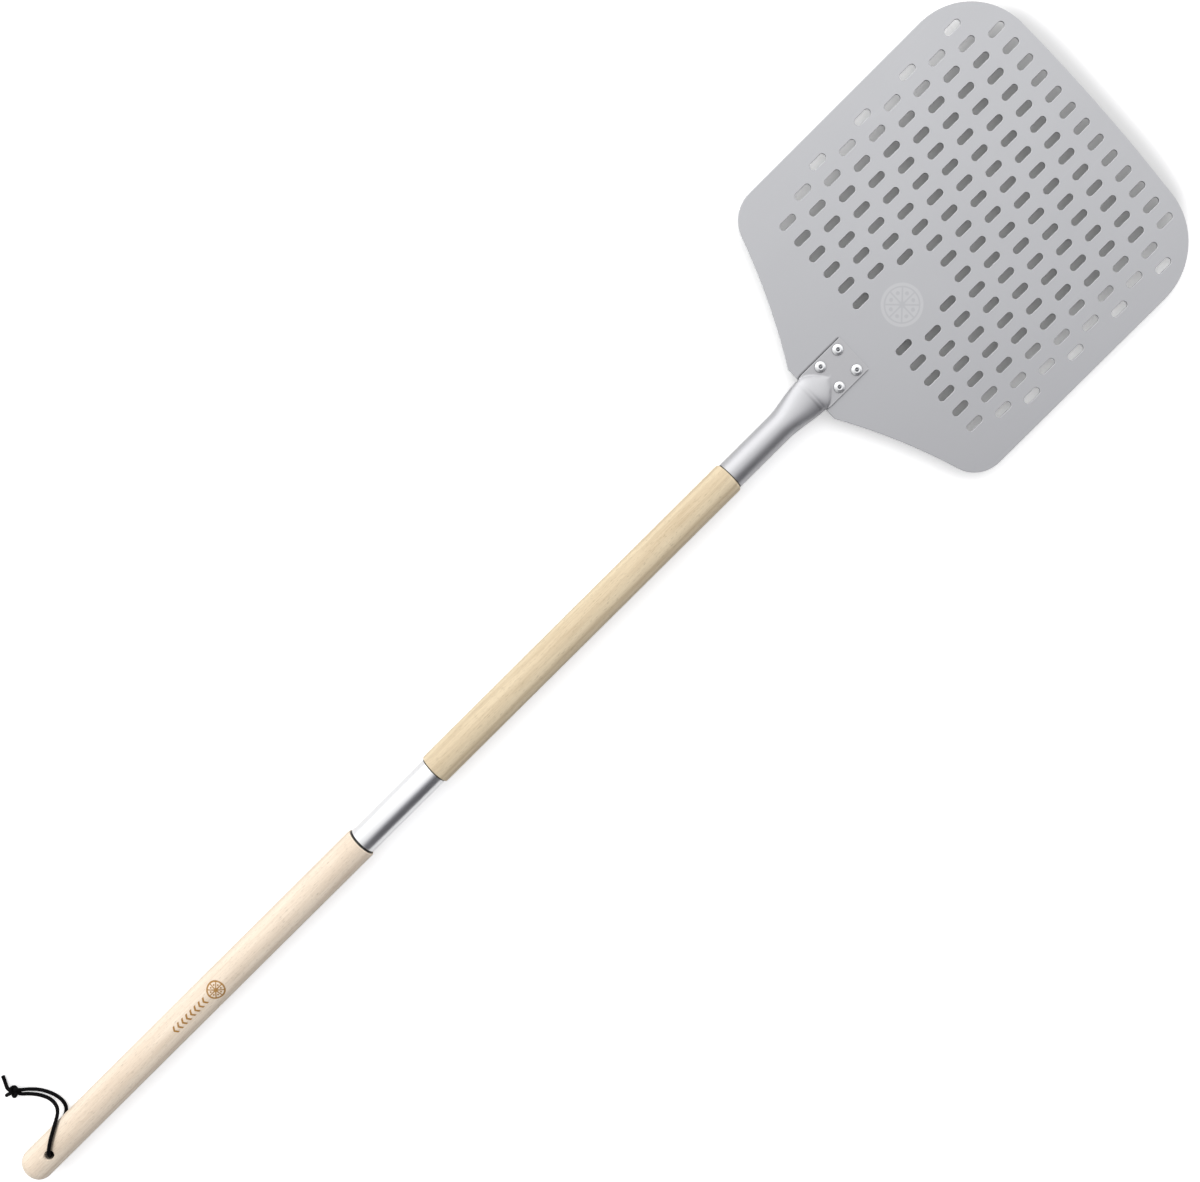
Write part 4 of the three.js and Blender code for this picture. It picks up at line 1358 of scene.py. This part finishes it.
@dataclass
class BlindRivet:
    """One domed blind rivet through the tongue and the blade, with the stub of its mandrel."""

    number: int
    x: float
    y: float
    seat: float = AXIS_Z + 1.2 * MM
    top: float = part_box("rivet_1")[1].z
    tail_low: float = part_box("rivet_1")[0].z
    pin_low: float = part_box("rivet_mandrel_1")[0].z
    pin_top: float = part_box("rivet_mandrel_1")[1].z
    head: float = 4.75 * MM
    shank: float = 2.4 * MM
    tail: float = 3.7 * MM
    bore: float = 1.25 * MM

    def shell(self) -> Form:
        """The rivet: a low dome with a dimple, a shank, and the bulb that draws up under the blade."""
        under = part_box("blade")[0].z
        rise = self.top - self.seat
        outline = Outline(steps=5)
        outline.to(self.bore, self.tail_low).to(0.75 * self.tail, self.tail_low, 0.5 * MM)
        outline.to(self.tail, (self.tail_low + under) / 2, 0.9 * MM)
        outline.to(0.85 * self.tail, under - 0.02 * MM, 0.2 * MM)
        outline.to(self.shank, under).to(self.shank, self.seat - 0.05 * MM)
        outline.to(self.head, self.seat, 0.12 * MM).to(self.head * 0.99, self.seat + 0.26 * rise, 0.35 * MM)
        outline.to(0.80 * self.head, self.seat + 0.68 * rise, 1.4 * MM)
        outline.to(0.50 * self.head, self.top, 0.9 * MM).to(1.45 * self.bore, self.top - 0.12 * MM, 0.25 * MM)
        outline.to(self.bore, self.top - 0.95 * MM).to(self.bore, self.tail_low)
        return outline.spun(40, "Z", (self.x, self.y, 0.0))

    def pin(self) -> Form:
        """The mandrel's stub, snapped off rough below the dome, with its ball head under the blade."""
        stem, ball = 1.0 * MM, 1.95 * MM
        outline = Outline(steps=4)
        outline.to(0.0, self.pin_low).to(0.8 * ball, self.pin_low, 0.5 * MM)
        outline.to(ball, self.tail_low - 0.35 * MM, 0.4 * MM).to(ball, self.tail_low - 0.02 * MM, 0.2 * MM)
        outline.to(stem, self.tail_low).to(stem, self.pin_top - 0.25 * MM)
        outline.to(0.62 * stem, self.pin_top - 0.1 * MM).to(0.0, self.pin_top)
        return outline.spun(24, "Z", (self.x, self.y, 0.0))

    def build(self) -> None:
        """Makes the rivet and its mandrel."""
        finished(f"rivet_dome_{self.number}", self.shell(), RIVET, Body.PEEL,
                 [f"rivet_{self.number}"], 30.0)
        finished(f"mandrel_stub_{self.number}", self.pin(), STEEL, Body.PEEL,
                 [f"rivet_mandrel_{self.number}"], 30.0)


@dataclass
class TenonScrew:
    """A round-headed cross-recessed screw, driven up from below."""

    node: str
    name: str
    head: float = 3.25 * MM
    head_height: float = 1.3 * MM
    shank: float = 1.5 * MM
    core: float = 0.8 * 1.5 * MM
    thread_pitch: float = 1.2 * MM
    cross_arm: Point = (3.7 * MM, 0.75 * MM, 1.7 * MM)
    cross_turn: float = 0.5

    def form(self) -> Form:
        """The screw with its thread rings and its cross."""
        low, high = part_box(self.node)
        x, y = (low.x + high.x) / 2, (low.y + high.y) / 2
        seat = low.z + self.head_height
        outline = Outline(steps=5)
        outline.to(0.0, low.z).to(0.55 * self.head, low.z, 1.2 * MM)
        outline.to(self.head, low.z + 0.55 * self.head_height, 0.7 * MM)
        outline.to(self.head, seat, 0.12 * MM).to(self.shank, seat)
        z = seat + 0.8 * MM
        while z + self.thread_pitch < high.z - 2.6 * MM:
            outline.to(self.core, z).to(self.shank, z + 0.35 * self.thread_pitch)
            outline.to(self.core, z + 0.7 * self.thread_pitch)
            z += self.thread_pitch
        outline.to(self.core, high.z - 2.4 * MM).to(0.0, high.z)
        arms = [box_tool(self.cross_arm, (x, y, low.z), turn + self.cross_turn, 0.15 * MM)
                for turn in (0.0, math.pi / 2)]
        return carved(outline.spun(36, "Z", (x, y, 0.0)), *arms)

    def build(self) -> None:
        """Makes the screw."""
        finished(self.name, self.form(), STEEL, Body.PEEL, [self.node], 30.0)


# ------------------------------------------------------------------ handle

@dataclass
class Handle:
    """The two lengths of turned beech."""

    radius: float = 14.0 * MM
    tenon: float = 11.0 * MM
    sides: int = 96
    ring_step: float = 12.0 * MM
    tube_round: float = 2.6 * MM
    joint_round: float = 0.8 * MM
    end_dome: float = 8.5 * MM
    hole: float = 3.75 * MM
    mouth_round: float = 0.9 * MM
    relief: Point = (17.0 * MM, 5.0 * MM, 7.6 * MM)
    relief_turn: float = math.radians(150)
    bore_depth: float = 38.3 * MM
    bore: float = 6.0 * MM
    bore_mouth: float = 7.0 * MM
    past_joint: float = 0.2 * MM

    def length_of_rings(self, outline: Outline, low: float, high: float) -> None:
        """Adds evenly spaced rings, so that the long flank is not made of slivers."""
        count = max(1, round((high - low) / self.ring_step))
        for step in range(1, count):
            outline.to(self.radius, lerp(low, high, step / count))

    def upper(self) -> None:
        """Makes the upper length, with a tenon at each end."""
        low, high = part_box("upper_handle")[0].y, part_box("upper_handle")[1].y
        outline = Outline(steps=8)
        outline.to(0.0, low).to(self.tenon, low, 1.0 * MM).to(self.tenon, AT.upper_low)
        outline.to(self.radius, AT.upper_low, self.joint_round)
        self.length_of_rings(outline, AT.upper_low + self.joint_round, AT.upper_high - self.tube_round)
        outline.to(self.radius, AT.upper_high, self.tube_round).to(self.tenon, AT.upper_high)
        outline.to(self.tenon, high, 1.0 * MM).to(0.0, high)
        form = outline.spun(self.sides)
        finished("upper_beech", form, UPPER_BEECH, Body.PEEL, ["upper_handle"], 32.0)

    def hole_tool(self) -> Form:
        """The cord hole with its two mouths opened out."""
        reach = 4.0 * MM
        flare = self.hole + self.mouth_round
        outline = Outline(steps=6)
        outline.to(0.0, -reach).to(flare + reach, -reach).to(flare, 0.30 * MM, 0.5 * MM)
        outline.to(self.hole, 1.3 * MM, 1.6 * MM).to(self.hole, 2 * self.radius - 1.3 * MM, 1.6 * MM)
        outline.to(flare, 2 * self.radius - 0.30 * MM, 0.5 * MM)
        outline.to(flare + reach, 2 * self.radius + reach).to(0.0, 2 * self.radius + reach)
        return outline.spun(48, "Z", (0.0, AT.cord_hole, AXIS_Z - self.radius))

    def lower(self) -> None:
        """Makes the lower length, with the stud's bore, the cord's hole and the channel under it."""
        length, width, height = self.relief
        outline = Outline(steps=14)
        outline.to(0.0, AT.handle_end).to(self.radius, AT.handle_end, self.end_dome)
        self.length_of_rings(outline, AT.handle_end + self.end_dome, AT.joint - self.joint_round)
        outline.to(self.radius, AT.joint, self.joint_round).to(0.0, AT.joint)
        rod = outline.spun(self.sides)
        bottom, past = AT.joint - self.bore_depth, AT.joint + self.past_joint
        bore = Outline(steps=4).to(0.0, bottom).to(self.bore, bottom, 0.8 * MM)
        bore.to(self.bore, AT.joint - 0.8 * MM, 0.4 * MM).to(self.bore_mouth, past).to(0.0, past)
        middle = Vector((math.cos(self.relief_turn), math.sin(self.relief_turn))) * (length / 2)
        channel = box_tool(self.relief, (middle.x, AT.cord_hole + middle.y, 0.0), self.relief_turn, 1.1 * MM)
        form = carved(rod, bore.spun(48), self.hole_tool(), channel)
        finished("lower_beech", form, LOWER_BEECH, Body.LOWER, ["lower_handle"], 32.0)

    def build(self) -> None:
        """Makes both lengths."""
        self.upper()
        self.lower()


# ------------------------------------------------------------------ screw joint

@dataclass
class ScrewJoint:
    """The ferrule with its threaded bush, the washer, and the stud that the lower length turns on."""

    outer: float = 12.5 * MM
    wall: float = 1.2 * MM
    mean: float = 7.5 * MM
    depth: float = 0.9 * MM
    clearance: float = 0.45 * MM
    pitch: float = 4.0 * MM
    thread_start: float = AT.ferrule_low + 0.5 * MM
    thread_length: float = 20.0 * MM
    rows_per_turn: int = 16
    sides: int = 64
    shank: float = 5.0 * MM
    washer_bore: float = 9.0 * MM
    barbs: int = 4
    first_barb: float = 3.0 * MM
    barb_pitch: float = 7.5 * MM
    barb_length: float = 5.6 * MM
    barb_rise: float = 0.7 * MM

    def rows(self, outline: Outline, radius: float, backwards: bool = False) -> None:
        """Adds the rows that the thread is drawn on."""
        count = round(self.thread_length / self.pitch * self.rows_per_turn)
        for step in range(count + 1):
            share = 1 - step / count if backwards else step / count
            outline.to(radius, self.thread_start + self.thread_length * share)

    def threaded(self, form: Form, radius: float) -> Form:
        """Draws a right-hand rounded thread on the rows at one radius.

        Args:
            form: A turned form about the handle's axis.
            radius: The rows' radius.

        Returns:
            The same form.
        """
        end = self.thread_start + self.thread_length
        for vert in form.verts:
            across, up = vert.co.x, vert.co.z - AXIS_Z
            reach = math.hypot(across, up)
            if abs(reach - radius) > 0.01 * MM or not self.thread_start - 1e-6 <= vert.co.y <= end + 1e-6:
                continue
            wave = math.cos(FULL_TURN * (vert.co.y - AT.ferrule_low) / self.pitch + math.atan2(up, across))
            size = (radius + self.depth * wave) / reach
            vert.co.x, vert.co.z = across * size, AXIS_Z + up * size
        return form

    def ferrule(self) -> None:
        """Makes the polished ferrule."""
        inner = self.outer - self.wall
        outline = Outline(steps=4)
        outline.to(inner, AT.ferrule_low + 1.0 * MM).to(inner, AT.ferrule_low, 0.25 * MM)
        outline.to(self.outer, AT.ferrule_low, 0.35 * MM).to(self.outer, AT.ferrule_high, 0.35 * MM)
        outline.to(inner, AT.ferrule_high, 0.25 * MM).to(inner, AT.ferrule_low + 1.0 * MM)
        form = outline.spun(128)
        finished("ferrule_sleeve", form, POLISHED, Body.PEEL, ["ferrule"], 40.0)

    def bush(self) -> None:
        """Makes the brass bush."""
        outer, inner = self.outer - self.wall - 0.02 * MM, self.mean + self.clearance
        end = self.thread_start + self.thread_length
        outline = Outline(steps=3)
        outline.to(outer, self.thread_start).to(outer, end)
        self.rows(outline, inner, backwards=True)
        outline.to(outer, self.thread_start)
        form = self.threaded(outline.spun(self.sides), inner)
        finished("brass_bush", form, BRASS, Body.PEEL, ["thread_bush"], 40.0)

    def washer(self) -> None:
        """Makes the washer between the two lengths."""
        inner, middle = self.washer_bore, (AT.washer_low + AT.washer_high) / 2
        outline = Outline(steps=3)
        outline.to(inner, middle).to(inner, AT.washer_low, 0.15 * MM)
        outline.to(self.outer, AT.washer_low, 0.3 * MM).to(self.outer, AT.washer_high, 0.3 * MM)
        outline.to(inner, AT.washer_high, 0.15 * MM).to(inner, middle)
        form = outline.spun(96)
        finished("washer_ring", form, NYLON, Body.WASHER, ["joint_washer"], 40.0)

    def stud(self) -> None:
        """Makes the stud, threaded towards the blade and barbed in the wood."""
        core = self.mean - self.depth
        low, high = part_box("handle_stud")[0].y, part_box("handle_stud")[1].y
        end = self.thread_start + self.thread_length
        outline = Outline(steps=3)
        outline.to(0.0, low).to(0.6 * self.shank, low, 0.4 * MM)
        for barb in range(self.barbs):
            y = low + self.first_barb + barb * self.barb_pitch
            outline.to(self.shank, y).to(self.shank + self.barb_rise, y + self.barb_length, 0.1 * MM)
        outline.to(self.shank, AT.joint - 4 * MM).to(self.shank, AT.joint + 0.15 * MM)
        outline.to(core, AT.joint + 0.3 * MM).to(core, self.thread_start - 0.6 * MM)
        self.rows(outline, self.mean)
        outline.to(core, end + 0.6 * MM).to(core - 1.5 * MM, high, 0.4 * MM).to(0.0, high)
        form = self.threaded(outline.spun(self.sides), self.mean)
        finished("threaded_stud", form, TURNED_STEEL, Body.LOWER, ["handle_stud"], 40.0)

    def build(self) -> None:
        """Makes the whole joint."""
        self.ferrule()
        self.bush()
        self.washer()
        self.stud()


# ------------------------------------------------------------------ the peel

def rivets() -> list[BlindRivet]:
    """The four rivets, each in the middle of its CAD node."""
    found = []
    for number in range(1, 5):
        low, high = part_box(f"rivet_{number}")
        found.append(BlindRivet(number, (low.x + high.x) / 2, (low.y + high.y) / 2))
    return found


def main() -> None:
    """Builds the studio, the cord and the peel in order."""
    Studio().build()
    HangingCord().build()
    Blade().build()
    Socket().build()
    for rivet in rivets():
        rivet.build()
    Handle().build()
    ScrewJoint().build()
    TenonScrew("socket_screw", "socket_cross_screw").build()
    TenonScrew("ferrule_screw", "ferrule_cross_screw").build()


if __name__ == "__main__":
    logging.basicConfig(level=logging.INFO, format="%(name)s: %(message)s")
    main()
